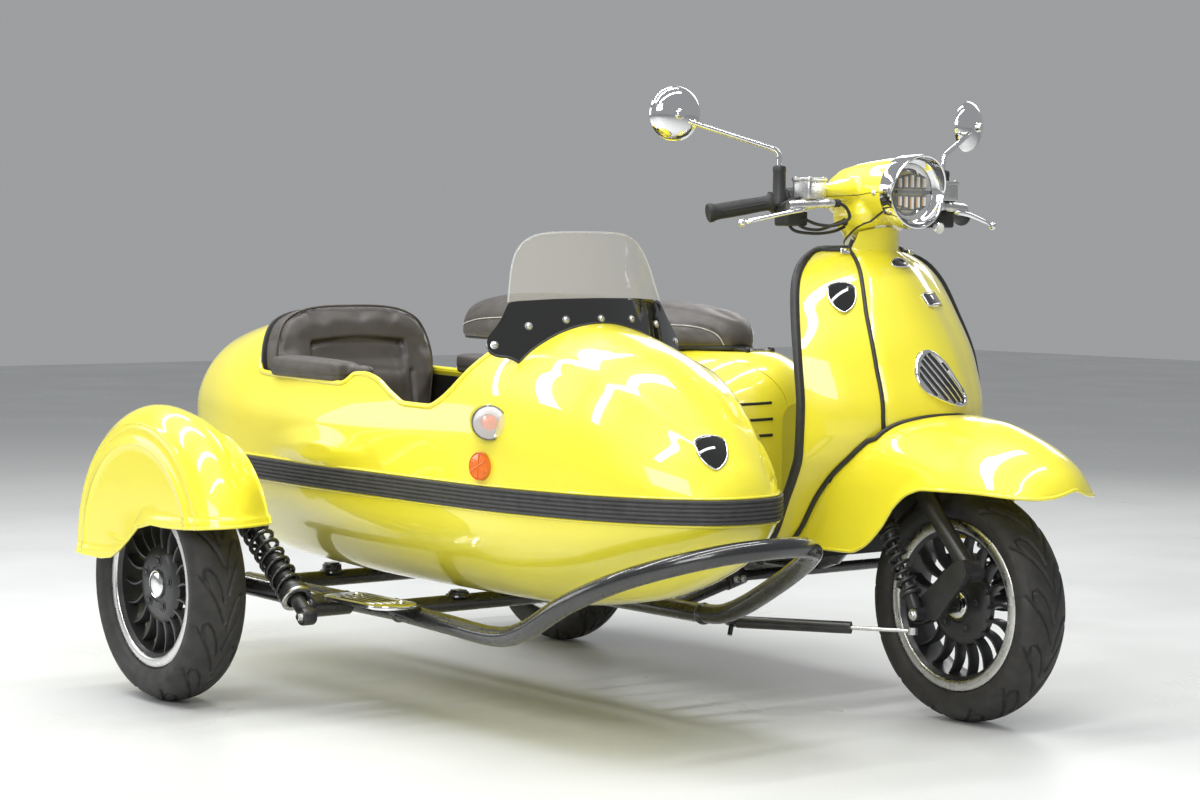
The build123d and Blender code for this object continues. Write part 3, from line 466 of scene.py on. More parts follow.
def groove_depth(around, across, repeat):
    """How deep the tread is cut at each point, for arrays of distances around and across the crown."""
    depth = np.zeros_like(around)
    for side, shift in ((1, 0.0), (-1, 0.5)):
        for curve in (SWEEP_GROOVE, HOOK_GROOVE):
            nearest = np.full_like(around, 1.0)
            for (u0, v0), (u1, v1) in zip(curve, curve[1:]):
                for wrap in (-1, 0, 1):
                    ax, ay = (u0 + shift + wrap) * repeat, side * v0
                    bx, by = (u1 + shift + wrap) * repeat, side * v1
                    local = around % repeat
                    length = (bx - ax) ** 2 + (by - ay) ** 2
                    share = np.clip(((local - ax) * (bx - ax) + (across - ay) * (by - ay)) / length, 0, 1)
                    gap = np.hypot(local - ax - share * (bx - ax), across - ay - share * (by - ay))
                    nearest = np.minimum(nearest, gap)
            cut = np.clip(1.5 - nearest / GROOVE_HALF, 0, 1)
            depth = np.maximum(depth, cut)
    return depth


def make_tyre(name, node, body, centre, radius, width):
    belly = (width / 2, (radius + BEAD_RADIUS) / 2)
    shoulder = (width * 0.43, radius - width * 0.16)
    lip = (RIM_HALF - FLANGE, FLANGE_RADIUS + 0.001)
    crown = arc_points((-shoulder[0], shoulder[1]), (0, radius), shoulder, 52)
    wall = arc_points(shoulder, belly, lip, 16)[1:]
    ringed = []
    for place, (y, r) in enumerate(wall):
        lift = 0.0009 if place in (3, 4, 11) else 0.0
        ringed.append((y + lift, r))
    profile = [(-y, r) for y, r in reversed(ringed)] + crown + ringed
    profile = [(-lip[0], BEAD_RADIUS)] + profile + [(lip[0], BEAD_RADIUS)]
    profile = np.array(profile)
    across = np.concatenate([[0], np.cumsum(np.hypot(*np.diff(profile, axis=0).T))])
    across -= across[-1] / 2
    segments = 560
    circumference = 2 * pi * radius
    around = np.arange(segments) / segments * circumference
    grid_u, grid_v = np.meshgrid(around, across, indexing="ij")
    cut = groove_depth(grid_u, grid_v, circumference / TREAD_REPEATS)
    fade = np.clip((0.072 - np.abs(grid_v)) / 0.006, 0, 1)
    tangent = np.gradient(profile, axis=0)
    normal = np.stack([-tangent[:, 1], tangent[:, 0]], 1)
    normal /= np.linalg.norm(normal, axis=1)[:, None]
    inward = np.where((normal[:, 1] > 0)[:, None], -normal, normal)
    sunk = profile[None] + (cut * fade)[..., None] * GROOVE_DEPTH * inward[None]
    angle = around / radius
    verts = np.stack([
        sunk[..., 1] * np.cos(angle)[:, None], sunk[..., 0], sunk[..., 1] * np.sin(angle)[:, None],
    ], -1).reshape(-1, 3) + np.array(centre)
    faces = grid_faces(segments, len(profile), close_rows=True, close_columns=True)
    piece = link(name, verts.tolist(), faces, "tyre")
    outward(piece)
    crease(piece, 40)
    return finish_piece(piece, body, [node])


WHEELS = (
    # name, body, hub centre, tyre radius, tyre width
    ("front", "front_wheel", (WHEELBASE, 0, FRONT_RADIUS), FRONT_RADIUS, 0.110),
    ("rear", "rear_wheel", (0, 0, REAR_RADIUS), REAR_RADIUS, 0.120),
    ("sidecar", "sidecar_wheel", (SIDE_LEAD, -TRACK, REAR_RADIUS), REAR_RADIUS, 0.120),
)

# Wheel rims: barrel, machined outer lip, hub disc with bolts and cap, and curved blades
BLADE_COUNT = 18
BLADE_FROM, BLADE_TO, BLADE_HALF = 0.072, 0.1425, 0.0030
BOLT_COUNT, BOLT_CIRCLE = 5, 0.048
LIP_INNER = 0.147
HUB_DISC = 0.079
DISC_Y = -0.026


def make_rim(name, node, body, centre, disc_y):
    """The outer face looks along -Y; disc_y is the hub disc's outer plane from the wheel's middle."""
    half = RIM_HALF
    centre = at(*centre)
    barrel = [
        (-half, 0.1495), (-half + 0.001, FLANGE_RADIUS), (-half + FLANGE, FLANGE_RADIUS),
        (-half + FLANGE + 0.001, BEAD_RADIUS), (half - FLANGE - 0.001, BEAD_RADIUS),
        (half - FLANGE, FLANGE_RADIUS), (half - 0.001, FLANGE_RADIUS), (half, FLANGE_RADIUS - 0.002),
        (half, LIP_INNER), (half - 0.012, 0.139), (0.0, 0.137), (-half + 0.010, 0.139),
        (-half + 0.002, 0.1465),
    ]
    pieces = [lathe(name, barrel, centre, "cast_black", 128, closed=True)]
    lip = [
        (-half + 0.002, 0.1462), (-half - 0.0004, 0.1485), (-half - 0.0012, 0.152),
        (-half - 0.0014, 0.160), (-half - 0.0008, 0.1645), (-half + 0.001, FLANGE_RADIUS + 0.0006),
        (-half + 0.004, FLANGE_RADIUS + 0.0006), (-half + 0.004, 0.1462),
    ]
    shine = lathe(f"{name}_lip", lip, centre, "silver", 160, closed=True)
    crease(shine, 50)
    hub = [
        (disc_y, 0.0), (disc_y, 0.0285), (disc_y + 0.002, 0.0295), (disc_y + 0.002, 0.034),
        (disc_y - 0.001, 0.036), (disc_y - 0.001, 0.060), (disc_y + 0.003, 0.0735),
        (disc_y + 0.008, HUB_DISC), (disc_y + 0.020, HUB_DISC), (disc_y + 0.022, 0.060),
        (disc_y + 0.026, 0.040), (0.030, 0.036), (0.034, 0.030), (0.034, 0.010),
    ]
    pieces.append(lathe(name + "_hub", hub, centre, "cast_black", 96))
    rows = 9
    for blade in range(BLADE_COUNT):
        turn = 2 * pi * blade / BLADE_COUNT
        verts = []
        for row in range(rows):
            share = row / (rows - 1)
            radius = BLADE_FROM + (BLADE_TO - BLADE_FROM) * share
            sweep = 0.0105 * sin(pi * share) / radius
            front = disc_y + 0.006 - 0.004 * share
            for side, y in ((-1, 0.0), (-0.55, -0.0022), (0.55, -0.0022), (1, 0.0), (1, 0.024), (-1, 0.024)):
                angle = turn + sweep + side * BLADE_HALF / radius * (1.25 - 0.35 * share)
                verts.append(centre + Vector((radius * cos(angle), front + y, radius * sin(angle))))
        pieces.append(link(name + "_blade", verts, grid_faces(rows, 6, close_columns=True), "cast_black"))
    for place in range(BOLT_COUNT):
        angle = 2 * pi * (place + 0.15) / BOLT_COUNT
        spot = centre + Vector((BOLT_CIRCLE * cos(angle), 0, BOLT_CIRCLE * sin(angle)))
        cup = [(disc_y - 0.0022, 0.0098), (disc_y - 0.0022, 0.0118), (disc_y + 0.004, 0.0122)]
        pieces.append(lathe(name + "_seat", cup, spot, "cast_black", 24))
        head = [(disc_y - 0.0042, 0.0), (disc_y - 0.0042, 0.0050), (disc_y - 0.0032, 0.0066),
                (disc_y + 0.002, 0.0066)]
        pieces.append(lathe(name + "_bolt", head, spot, "cast_black", 6))
        ring = [(disc_y - 0.0012, 0.0068), (disc_y - 0.0012, 0.0094), (disc_y + 0.002, 0.0096)]
        pieces.append(lathe(name + "_washer", ring, spot, "cast_black", 24))
    whole = crease(join(name, pieces), 35)
    finish_piece(whole, body, [node])
    finish_piece(shine, body)
    cap = [(disc_y - 0.008, 0.0), (disc_y - 0.0078, 0.012), (disc_y - 0.0062, 0.022),
           (disc_y - 0.004, 0.0255), (disc_y - 0.0045, 0.0272), (disc_y - 0.002, 0.0284),
           (disc_y + 0.003, 0.0284)]
    finish_piece(crease(lathe(f"{name}_cap", cap, centre, "chrome", 64), 40), body)
    stem = [centre + Vector(way) for way in ((0.1, -0.01, 0.092), (0.092, -0.024, 0.084))]
    finish_piece(tube(f"{name}_valve", stem, 0.0035, "black_plastic", 10), body)


# Smooth tables: a monotone cubic through named stations
def smooth_table(rows):
    """Function from the first column to all the others, smooth and without overshoot."""
    table = np.array(rows, dtype=float)
    table = table[np.argsort(table[:, 0])]
    xs, values = table[:, 0], table[:, 1:]
    step = np.diff(xs)[:, None]
    slope = np.diff(values, axis=0) / step
    tangent = np.zeros_like(values)
    inner_a, inner_b = slope[:-1], slope[1:]
    w1 = 2 * step[1:] + step[:-1]
    w2 = step[1:] + 2 * step[:-1]
    same = inner_a * inner_b > 0
    safe_a = np.where(same, inner_a, 1)
    safe_b = np.where(same, inner_b, 1)
    tangent[1:-1] = np.where(same, (w1 + w2) / (w1 / safe_a + w2 / safe_b), 0)
    tangent[0], tangent[-1] = slope[0], slope[-1]

    def value(x):
        x = np.clip(x, xs[0], xs[-1])
        k = np.clip(np.searchsorted(xs, x, side="right") - 1, 0, len(xs) - 2)
        h = xs[k + 1] - xs[k]
        t = ((x - xs[k]) / h)[..., None]
        h = h[..., None]
        return ((2 * t**3 - 3 * t**2 + 1) * values[k] + (t**3 - 2 * t**2 + t) * h * tangent[k]
                + (-2 * t**3 + 3 * t**2) * values[k + 1] + (t**3 - t**2) * h * tangent[k + 1])

    return value


def arch_radii(half_width, height, corner):
    """Straight side, rise above it, corner radius and crown radius of an arch, as in the drawing."""
    side = np.maximum(0.1 * height, height - 0.9 * half_width)
    rise = height - side
    r1 = corner * np.minimum(half_width, rise)
    r2 = ((half_width - r1) ** 2 + rise**2 - r1**2) / (2 * (rise - r1))
    return side, rise, r1, r2


def arch_curve(half_width, height, corner, share):
    """Points of an arch from the foot (share 0) over the crown (share 0.5) to the other foot (share 1)."""
    side, rise, r1, r2 = arch_radii(half_width, height, corner)
    lean = np.arctan2(half_width - r1, r2 - rise)
    lengths = [side, r1 * (pi / 2 - lean), r2 * lean]
    walked = np.where(share <= 0.5, share, 1 - share) * 2 * sum(lengths)
    sign = np.where(share <= 0.5, 1.0, -1.0)
    angle = np.clip((walked - lengths[0]) / r1, 0, pi / 2 - lean)
    crown = np.clip((walked - lengths[0] - lengths[1]) / r2, 0, lean)
    on_side = walked <= lengths[0]
    on_corner = walked <= lengths[0] + lengths[1]
    corner_y, corner_z = half_width - r1 + r1 * np.cos(angle), side + r1 * np.sin(angle)
    crown_y, crown_z = r2 * np.sin(lean - crown), side + rise - r2 + r2 * np.cos(lean - crown)
    y = np.where(on_side, half_width, np.where(on_corner, corner_y, crown_y))
    z = np.where(on_side, walked, np.where(on_corner, corner_z, crown_z))
    return sign * y, z


def grid_normals(points):
    du = np.gradient(points, axis=0)
    dv = np.gradient(points, axis=1)
    normal = np.cross(du, dv)
    return normal / np.maximum(np.linalg.norm(normal, axis=-1, keepdims=True), 1e-12)


# Sidecar body: belt half-width, crown height and keel depth by station, as in the drawing
CAR_ROWS = (
    (-0.421, 0.004, 0.006, 0.005), (-0.416, 0.036, 0.060, 0.020), (-0.370, 0.108, 0.180, 0.084),
    (-0.240, 0.175, 0.278, 0.156), (0.060, 0.240, 0.318, 0.214), (0.500, 0.258, 0.322, 0.222),
    (0.900, 0.253, 0.330, 0.220), (1.140, 0.218, 0.280, 0.192), (1.300, 0.160, 0.180, 0.140),
    (1.390, 0.093, 0.092, 0.080), (1.420, 0.044, 0.040, 0.024), (1.425, 0.004, 0.006, 0.005),
)
car_table = smooth_table(CAR_ROWS)
CAR_CORNER = 0.66
# Height of the cockpit's edge along its side
RIM_ROWS = (
    (0.020, 0.800), (0.034, 0.745), (0.044, 0.700), (0.058, 0.668), (0.090, 0.651), (0.200, 0.647),
    (0.425, 0.642), (0.440, 0.646), (0.458, 0.661), (0.495, 0.663), (0.539, 0.657), (0.629, 0.628),
    (0.680, 0.614), (0.765, 0.613), (0.795, 0.626), (0.820, 0.648), (0.846, 0.688), (0.874, 0.721),
    (0.905, 0.746), (0.940, 0.768), (0.980, 0.800),
)
rim_table = smooth_table(RIM_ROWS)
COCKPIT_FROM = 0.026
COCKPIT_TO = 0.974


def gauss(value, middle, spread):
    return np.exp(-(((value - middle) / spread) ** 2))


def car_surface(x, share, up, shape_up=True):
    """Body surface at stations x and shares of the section, with the soft crease and the side's low bulge."""
    row = car_table(x)
    height = row[..., 1] if up > 0 else row[..., 2]
    y, z = arch_curve(row[..., 0], height, CAR_CORNER, share)
    if up > 0 and shape_up:
        along = np.clip((x - 0.96) / 0.10, 0, 1) * np.clip((1.40 - x) / 0.10, 0, 1)
        for line in (0.315, 0.685):
            y = y + 0.0045 * along * gauss(share, line, 0.022) * np.sign(y)
            z = z + 0.0045 * along * gauss(share, line, 0.022)
        bulge = 0.010 * np.clip(1.6 - np.hypot((x - 0.375) / 0.205, (z - 0.052) / 0.050) * 1.6, 0, 1) ** 1.5
        y = y + bulge * np.sign(y)
    return np.stack([x, CAR_Y + y, BELT_Z + up * z], -1)


def car_stations():
    """Stations along the body, close together at both ends and at the cockpit's steep edges."""
    tail, nose, end = CAR_ROWS[0][0], CAR_ROWS[-1][0], 0.06
    quarter = np.linspace(0, pi / 2, 16)
    return np.unique(np.round(np.concatenate([
        tail + end * (1 - np.cos(quarter)), np.linspace(tail + end, nose - end, 150)[1:-1],
        nose - end * (1 - np.sin(quarter)), [COCKPIT_FROM, COCKPIT_TO], np.linspace(COCKPIT_FROM, 0.07, 12),
        np.linspace(0.930, COCKPIT_TO, 14), np.linspace(0.435, 0.475, 7),
    ]), 5))


def solidify(piece, thickness):
    """Wall set off inwards from a sheet whose faces look outwards."""
    modifier = piece.modifiers.new("wall", "SOLIDIFY")
    modifier.thickness = thickness
    modifier.offset = -1
    apply_modifiers(piece)
    return crease(piece, 50)


def look_away(piece, middle):
    """Turn a sheet's faces away from a point inside the body."""
    shape = bmesh.new()
    shape.from_mesh(piece.data)
    bmesh.ops.remove_doubles(shape, verts=shape.verts, dist=2e-5)
    bmesh.ops.recalc_face_normals(shape, faces=shape.faces)
    shape.normal_update()
    outside = 0
    for face in shape.faces:
        outside += face.normal.dot(face.calc_center_median() - middle) * face.calc_area()
    if outside < 0:
        bmesh.ops.reverse_faces(shape, faces=shape.faces)
    shape.to_mesh(piece.data)
    shape.free()
    return piece


def skin(name, points, faces, material, inside, wall):
    """Sheet over drawing points, facing away from a point inside the body, its wall set off inwards."""
    sheet = link(name, put(points), faces, material)
    look_away(sheet, at(*inside))
    return solidify(sheet, wall)


def last_share(x, before, rounds=24):
    """Share of a section, from its foot up to the crown, at which a test of the share turns false."""
    low, high = np.zeros_like(x), np.full_like(x, 0.5)
    for _ in range(rounds):
        middle = (low + high) / 2
        below = before(middle)
        low = np.where(below, middle, low)
        high = np.where(below, high, middle)
    return low


def rim_share(x):
    """Share of the section at which the side reaches the cockpit's edge."""
    target = rim_table(x)[..., 0]
    return last_share(x, lambda share: car_surface(x, share, 1, False)[..., 2] < target)


CAR_COLUMNS = 64
CAR_MIDDLE = (0.5, CAR_Y, BELT_Z)
CAR_WALL = 0.007


def make_car_shell():
    xs = car_stations()
    half = CAR_COLUMNS // 2
    open_here = (xs > COCKPIT_FROM) & (xs < COCKPIT_TO)
    top = np.where(open_here, rim_share(xs), 0.5)
    left = np.linspace(0, 1, half)[None] * top[:, None]
    shares = np.concatenate([left, (1 - left)[:, ::-1]], 1)
    points = car_surface(np.repeat(xs[:, None], CAR_COLUMNS, 1), shares, 1)
    faces = []
    for row in range(len(xs) - 1):
        for column in range(CAR_COLUMNS - 1):
            if column == half - 1:
                continue
            k = row * CAR_COLUMNS + column
            faces.append((k, k + 1, k + CAR_COLUMNS + 1, k + CAR_COLUMNS))
    shell = skin("sidecar_shell_dressed", points, faces, "yellow_paint", CAR_MIDDLE, CAR_WALL)
    finish_piece(shell, "root", ["sidecar_shell"])
    rim_xs = xs[open_here]
    share = rim_share(rim_xs)
    loop = [*car_surface(rim_xs, share, 1), *car_surface(rim_xs, 1 - share, 1)[::-1]]
    bead("cockpit_bead", shifted(loop), 0.0058, "yellow_paint", 10, closed=True)


def make_car_hull():
    xs = car_stations()
    shares = np.linspace(0, 1, 48)
    grid_x, grid_s = np.meshgrid(xs, shares, indexing="ij")
    points = car_surface(grid_x, grid_s, -1)
    faces = grid_faces(len(xs), len(shares))
    hull = skin("sidecar_hull_dressed", points, faces, "yellow_paint", CAR_MIDDLE, CAR_WALL)
    finish_piece(hull, "root", ["sidecar_hull"])


def belt_loop():
    """Outline of the body at the belt, from the tail round the nose and back, with outward normals."""
    xs = car_stations()
    width = car_table(xs)[:, 0]
    left = np.stack([xs, CAR_Y + width], 1)
    right = np.stack([xs, CAR_Y - width], 1)[::-1]
    loop = np.concatenate([left, right])
    length = np.concatenate([[0], np.cumsum(np.hypot(*np.diff(np.concatenate([loop, loop[:1]]), axis=0).T))])
    walk = np.linspace(0, length[-1], 420, endpoint=False)
    closed = np.concatenate([loop, loop[:1]])
    loop = np.stack([np.interp(walk, length, closed[:, 0]), np.interp(walk, length, closed[:, 1])], 1)
    for _ in range(2):
        loop = (np.roll(loop, 1, 0) + 2 * loop + np.roll(loop, -1, 0)) / 4
    tangent = np.roll(loop, -1, 0) - np.roll(loop, 1, 0)
    normal = np.stack([tangent[:, 1], -tangent[:, 0]], 1)
    normal /= np.linalg.norm(normal, axis=1)[:, None]
    outside = np.sum(normal * (loop - np.array([0.5, CAR_Y])), axis=1).mean()
    return loop, normal if outside > 0 else -normal


BELT_RIBS = 6


def make_belt():
    loop, normal = belt_loop()
    profile = [(0.001, 0.0215)]
    for rib in range(BELT_RIBS):
        z = 0.019 - rib * 0.0380 / (BELT_RIBS - 1)
        for out, rise in ((0.0060, 0.0030), (0.0084, 0.0020), (0.0088, 0), (0.0084, -0.0020),
                          (0.0060, -0.0030)):
            profile.append((out, z + rise))
    profile.append((0.001, -0.0215))
    verts = []
    for (x, y), (nx, ny) in zip(loop, normal):
        for out, z in profile:
            verts.append(at(x + nx * out, y + ny * out, BELT_Z + z))
    belt = link("belt_strip_dressed", verts, grid_faces(len(loop), len(profile), True, True), "rubber_strip")
    outward(belt)
    crease(belt, 35)
    finish_piece(belt, "root", ["belt_strip"])
    for name, z in (("belt_lip_upper", 0.0245), ("belt_lip_lower", -0.0245)):
        path = [at(x + nx * 0.0012, y + ny * 0.0012, BELT_Z + z) for (x, y), (nx, ny) in zip(loop, normal)]
        bead(name, path, 0.0030, "yellow_paint", closed=True)


# Front fender: arches over the wheel, cut below by its lower edge and behind by the seam with the legshield
FENDER_ROWS = (
    # x, half-width, crest height
    (1.050, 0.186, 0.500), (1.120, 0.186, 0.548), (1.200, 0.178, 0.578), (1.300, 0.163, 0.592),
    (1.400, 0.147, 0.586), (1.480, 0.128, 0.564), (1.550, 0.102, 0.532), (1.580, 0.076, 0.508),
    (1.594, 0.048, 0.492), (1.601, 0.024, 0.479), (1.604, 0.008, 0.4715),
)
FENDER_EDGE_ROWS = (
    (1.050, 0.330), (1.120, 0.326), (1.190, 0.330), (1.222, 0.343), (1.262, 0.381), (1.295, 0.428),
    (1.326, 0.453), (1.361, 0.463), (1.457, 0.464), (1.560, 0.458), (1.580, 0.457), (1.594, 0.459),
    (1.601, 0.465), (1.604, 0.4710),
)
SEAM_ROWS = (
    # height, x of the seam
    (0.320, 1.026), (0.335, 1.032), (0.356, 1.042), (0.388, 1.064), (0.451, 1.107), (0.508, 1.150),
    (0.549, 1.188), (0.573, 1.222), (0.600, 1.240),
)
fender_table = smooth_table(FENDER_ROWS)
fender_edge = smooth_table(FENDER_EDGE_ROWS)
seam_table = smooth_table(SEAM_ROWS)
FENDER_BASE = 0.330
FENDER_CORNER = 0.8
FENDER_WALL = 0.0035
ROOT_POWER = 4.2
BULGE_X = 0.973
BULGE_RADIUS = 0.286
SEAM_GAP = 0.0012


def fender_point(x, share):
    row = fender_table(x)
    height = row[..., 1] - FENDER_BASE
    y, z = arch_curve(row[..., 0], height, FENDER_CORNER, share)
    angle = pi * share
    flat = np.clip((1.42 - x) / 0.20, 0, 1)
    flat = flat * flat * (3 - 2 * flat)
    y = y + flat * (row[..., 0] * np.sign(np.cos(angle)) * abs(np.cos(angle)) ** (2 / ROOT_POWER) - y)
    z = FENDER_BASE + z + flat * (height * abs(np.sin(angle)) ** (2 / ROOT_POWER) - z)
    crest = 0.004 * gauss(share, 0.5, 0.05)
    crest = crest * np.clip((x - 1.22) / 0.08, 0, 1) * np.clip((1.60 - x) / 0.1, 0, 1)
    flare = 0.004 * gauss(z, fender_edge(x)[..., 0], 0.016) * np.sign(y)
    return np.stack([x, y + flare, z + crest], -1)


def fender_lower(x):
    """Share at which the arch comes down to the fender's lower edge."""
    target = fender_edge(x)[..., 0]
    return last_share(x, lambda share: fender_point(x, share)[..., 2] < target, 22)


def make_front_fender():
    rows, columns = 90, 81
    walk = np.linspace(0, 1, rows)
    walk = 1 - (1 - walk) ** 1.35
    across = np.linspace(0, 1, columns)
    x = np.full((rows, columns), 1.2)
    share = np.broadcast_to(across, x.shape).copy()
    start = np.full(columns, 1.2)
    for _ in range(30):
        x = start[None] + (FENDER_ROWS[-1][0] - start[None]) * walk[:, None]
        low = fender_lower(x)
        share = low + (1 - 2 * low) * across[None]
        edge = fender_point(x, share)[0]
        round_part = BULGE_X + np.sqrt(np.maximum(BULGE_RADIUS**2 - edge[:, 1] ** 2, 0))
        against = panel_front(edge[:, 1], edge[:, 2]) + SEAM_GAP
        low_z = np.clip(edge[:, 2], 0.300, WELL_TOP)
        across_shield = np.clip(edge[:, 1] / shield_table(low_z)[..., 1], -1, 1)
        beside = shield_point(low_z, across_shield)[..., 0] + SEAM_GAP
        round_part = np.where(edge[:, 2] > 0.548, np.maximum(round_part, against), beside)
        wanted = np.maximum(seam_table(edge[:, 2])[..., 0], round_part)
        start = start + 0.5 * (wanted - start)
    points = fender_point(x, share)
    faces = grid_faces(rows, columns)
    piece = skin("front_fender_dressed", points, faces, "yellow_paint", (1.35, 0, 0.38), FENDER_WALL)
    finish_piece(piece, "root", ["front_fender"])
    lower = [*points[:, 0], *points[-1, 1:-1], *points[::-1, -1]]
    bead("front_fender_bead", shifted(lower), 0.0036, "yellow_paint")
    seam = []
    for q in points[0]:
        seam.append(Vector(q) + MOVE + Vector((-0.0005, 0.004 * float(np.clip(q[1] / 0.12, -1, 1)), 0)))
    bead("front_fender_seam", seam, 0.0052, "trim_rubber")


# Legshield: sheet bowed forward, by height
SHIELD_ROWS = (
    # z, edge x, half-width, x on the centre line
    (0.300, 0.985, 0.232, 1.010), (0.360, 1.038, 0.240, 1.068), (0.430, 1.075, 0.244, 1.122),
    (0.470, 1.095, 0.244, 1.165), (0.520, 1.112, 0.244, 1.222), (0.562, 1.1135, 0.243, 1.248),
    (0.600, 1.114, 0.242, 1.252), (0.690, 1.101, 0.238, 1.226), (0.800, 1.064, 0.215, 1.168),
    (0.850, 1.046, 0.198, 1.134), (0.880, 1.034, 0.176, 1.112), (0.900, 1.024, 0.148, 1.094),
    (0.910, 1.017, 0.124, 1.084), (0.914, 1.013, 0.108, 1.078),
)
SHIELD_TOP = 0.914
PANEL_ROWS = (
    # z, half-width of the centre panel
    (0.555, 0.124), (0.600, 0.128), (0.680, 0.126), (0.780, 0.112), (0.880, 0.081), (0.930, 0.066),
    (0.965, 0.055),
)
shield_table = smooth_table(SHIELD_ROWS)
panel_table = smooth_table(PANEL_ROWS)
PANEL_GAP = 0.001
WELL_TOP = 0.562
# Share of the half-width at which the side strips below the panel begin, by height
WELL_SHARES = ((0.300, 0.752), (0.460, 0.752), (0.480, 0.700), (0.520, 0.550), (0.562, 0.400))


def shield_point(z, share):
    """Point of the legshield's front at a height and a share of the half-width, -1 to 1."""
    row = shield_table(z)
    edge_x, half, middle_x = row[..., 0], row[..., 1], row[..., 2]
    sag = middle_x - edge_x
    radius = (half**2 + sag**2) / (2 * sag)
    y = share * half
    x = middle_x - radius + np.sqrt(np.maximum(radius**2 - y**2, 0))
    return np.stack([x, y, z], -1)


def make_legshield():
    heights = np.linspace(WELL_TOP, SHIELD_TOP, 60)
    shares = np.linspace(-1, 1, 61)
    grid_z, grid_s = np.meshgrid(heights, shares, indexing="ij")
    sheets = [(grid_z, grid_s)]
    low_heights = np.linspace(0.300, WELL_TOP, 44)
    inner = smooth_table(WELL_SHARES)(low_heights)
    for side in (-1, 1):
        strip = side * (inner + (1 - inner) * np.linspace(0, 1, 18))
        sheets.append((np.repeat(low_heights[:, None], 18, 1), strip))
    pieces = []
    for grid_z, grid_s in sheets:
        points, faces = shield_point(grid_z, grid_s), grid_faces(*grid_z.shape)
        pieces.append(skin("legshield_sheet", points, faces, "yellow_paint", (0.80, 0, 0.55), 0.009))
    gather("legshield_dressed", pieces, "root", ["legshield"])


def panel_front(y, z):
    """How far forward the front panel's skin stands at a place, or the legshield's beside it."""
    low = np.clip(z, WELL_TOP, SHIELD_TOP)
    across = y / (panel_table(low)[..., 0] - PANEL_GAP)
    base = shield_point(low, y / shield_table(low)[..., 1])[..., 0]
    right = np.clip((1 + across) / 0.12, 0, 1) ** 0.5
    left = np.clip((1 - across) / 0.55, 0, 1)
    rise = 0.0075 * right * left * left * (3 - 2 * left) + 0.006 * gauss(across, 0, 0.5)
    return base + np.where(abs(across) <= 1.001, rise, 0)


def make_front_panel():
    across = np.linspace(-1, 1, 41)
    walk = np.linspace(0, 1, 64)
    top = np.full(41, 0.950)
    for _ in range(6):
        y = across * (panel_table(top)[..., 0] - PANEL_GAP)
        top = 0.9275 + (panel_front(y, top) - NECK_CUT.x) * 0.4663
    z = WELL_TOP + (top[None] - WELL_TOP) * walk[:, None]
    y = across[None] * (panel_table(z)[..., 0] - PANEL_GAP)
    points = np.stack([panel_front(y, z), y, z], -1)
    mesh = skin("front_panel_dressed", points, grid_faces(64, 41), "yellow_paint", (0.80, 0, 0.75), 0.006)
    finish_piece(mesh, "root", ["front_panel"])
    edge = []
    for z in np.linspace(0.566, 0.936, 40):
        y = -(panel_table(np.array(z))[..., 0] + 0.0015)
        low = np.array(min(z, SHIELD_TOP))
        x = shield_point(low, y / shield_table(low)[..., 1])[0]
        edge.append((x + 0.0015, y, z))
    bead("panel_piping", shifted(edge), 0.0042, "trim_rubber")


def make_shield_trim():
    """Rubber edge round the legshield: up one side, along the top to the neck, and its mirror image."""
    pieces = []
    for side in (-1, 1):
        path = []
        for z in np.linspace(0.292, SHIELD_TOP, 70):
            point = shield_point(np.array(max(z, 0.300)), np.array(float(side)))
            path.append(Vector((point[0] - 0.004, point[1] + side * 0.0015, z)))
        for share in np.linspace(0.96, 0.60, 8):
            point = shield_point(np.array(SHIELD_TOP), np.array(side * share))
            path.append(Vector((point[0] - 0.004, point[1], SHIELD_TOP + 0.0015)))
        smooth = spline_points([path[k] for k in range(0, len(path), 3)] + [path[-1]], 4)
        pieces.append(tube("trim_half", shifted(smooth), 0.0095, "trim_rubber", 12))
    gather("legshield_trim_dressed", pieces, "root", ["legshield_trim"])


# Polygons, plates, bolts and springs
def facing(direction, twist=0.0):
    """Rotation that turns +Z to a direction."""
    turn = Vector(direction).normalized().to_track_quat("Z", "Y").to_matrix().to_4x4()
    return turn @ Matrix.Rotation(twist, 4, "Z")


def place_on(piece, spot, direction, twist=0.0):
    """Turn a piece made about +Z at the origin to a direction and set it at a spot."""
    piece.data.transform(Matrix.Translation(spot) @ facing(direction, twist))
    return piece


def turned(name, profile, spot, direction, material, segments=32, angle=35):
    """Lathed piece: (height, radius) points about an axis through the spot."""
    piece = lathe(name, profile, Vector((0, 0, 0)), material, segments, axis="Z")
    return crease(place_on(piece, spot, direction), angle)


def bevelled(piece, width, segments=2, angle=40):
    modifier = piece.modifiers.new("edge", "BEVEL")
    modifier.width = width
    modifier.segments = segments
    modifier.limit_method = "ANGLE"
    modifier.angle_limit = radians(angle)
    apply_modifiers(piece)
    return crease(piece, 30)


def prism(name, outline, low, high, material, axis="Z", edge=0.0):
    """Outline of (a, b) points, drawn in the plane across an axis, between two places on it."""
    count = len(outline)
    order = {"X": lambda a, b, c: (c, a, b), "Y": lambda a, b, c: (a, c, b), "Z": lambda a, b,
             c: (a, b, c)}[axis]
    verts = [order(a, b, low) for a, b in outline] + [order(a, b, high) for a, b in outline]
    faces = [tuple(range(count)), tuple(range(count, 2 * count))[::-1]]
    faces += [(k, (k + 1) % count, count + (k + 1) % count, count + k) for k in range(count)]
    piece = outward(link(name, verts, faces, material))
    if edge:
        bevelled(piece, edge)
    return crease(piece, 30)


def moved(piece, *shift):
    piece.data.transform(Matrix.Translation(Vector(shift)))
    return piece


def placed(piece):
    """From drawing coordinates to the frame's."""
    return moved(piece, *MOVE)


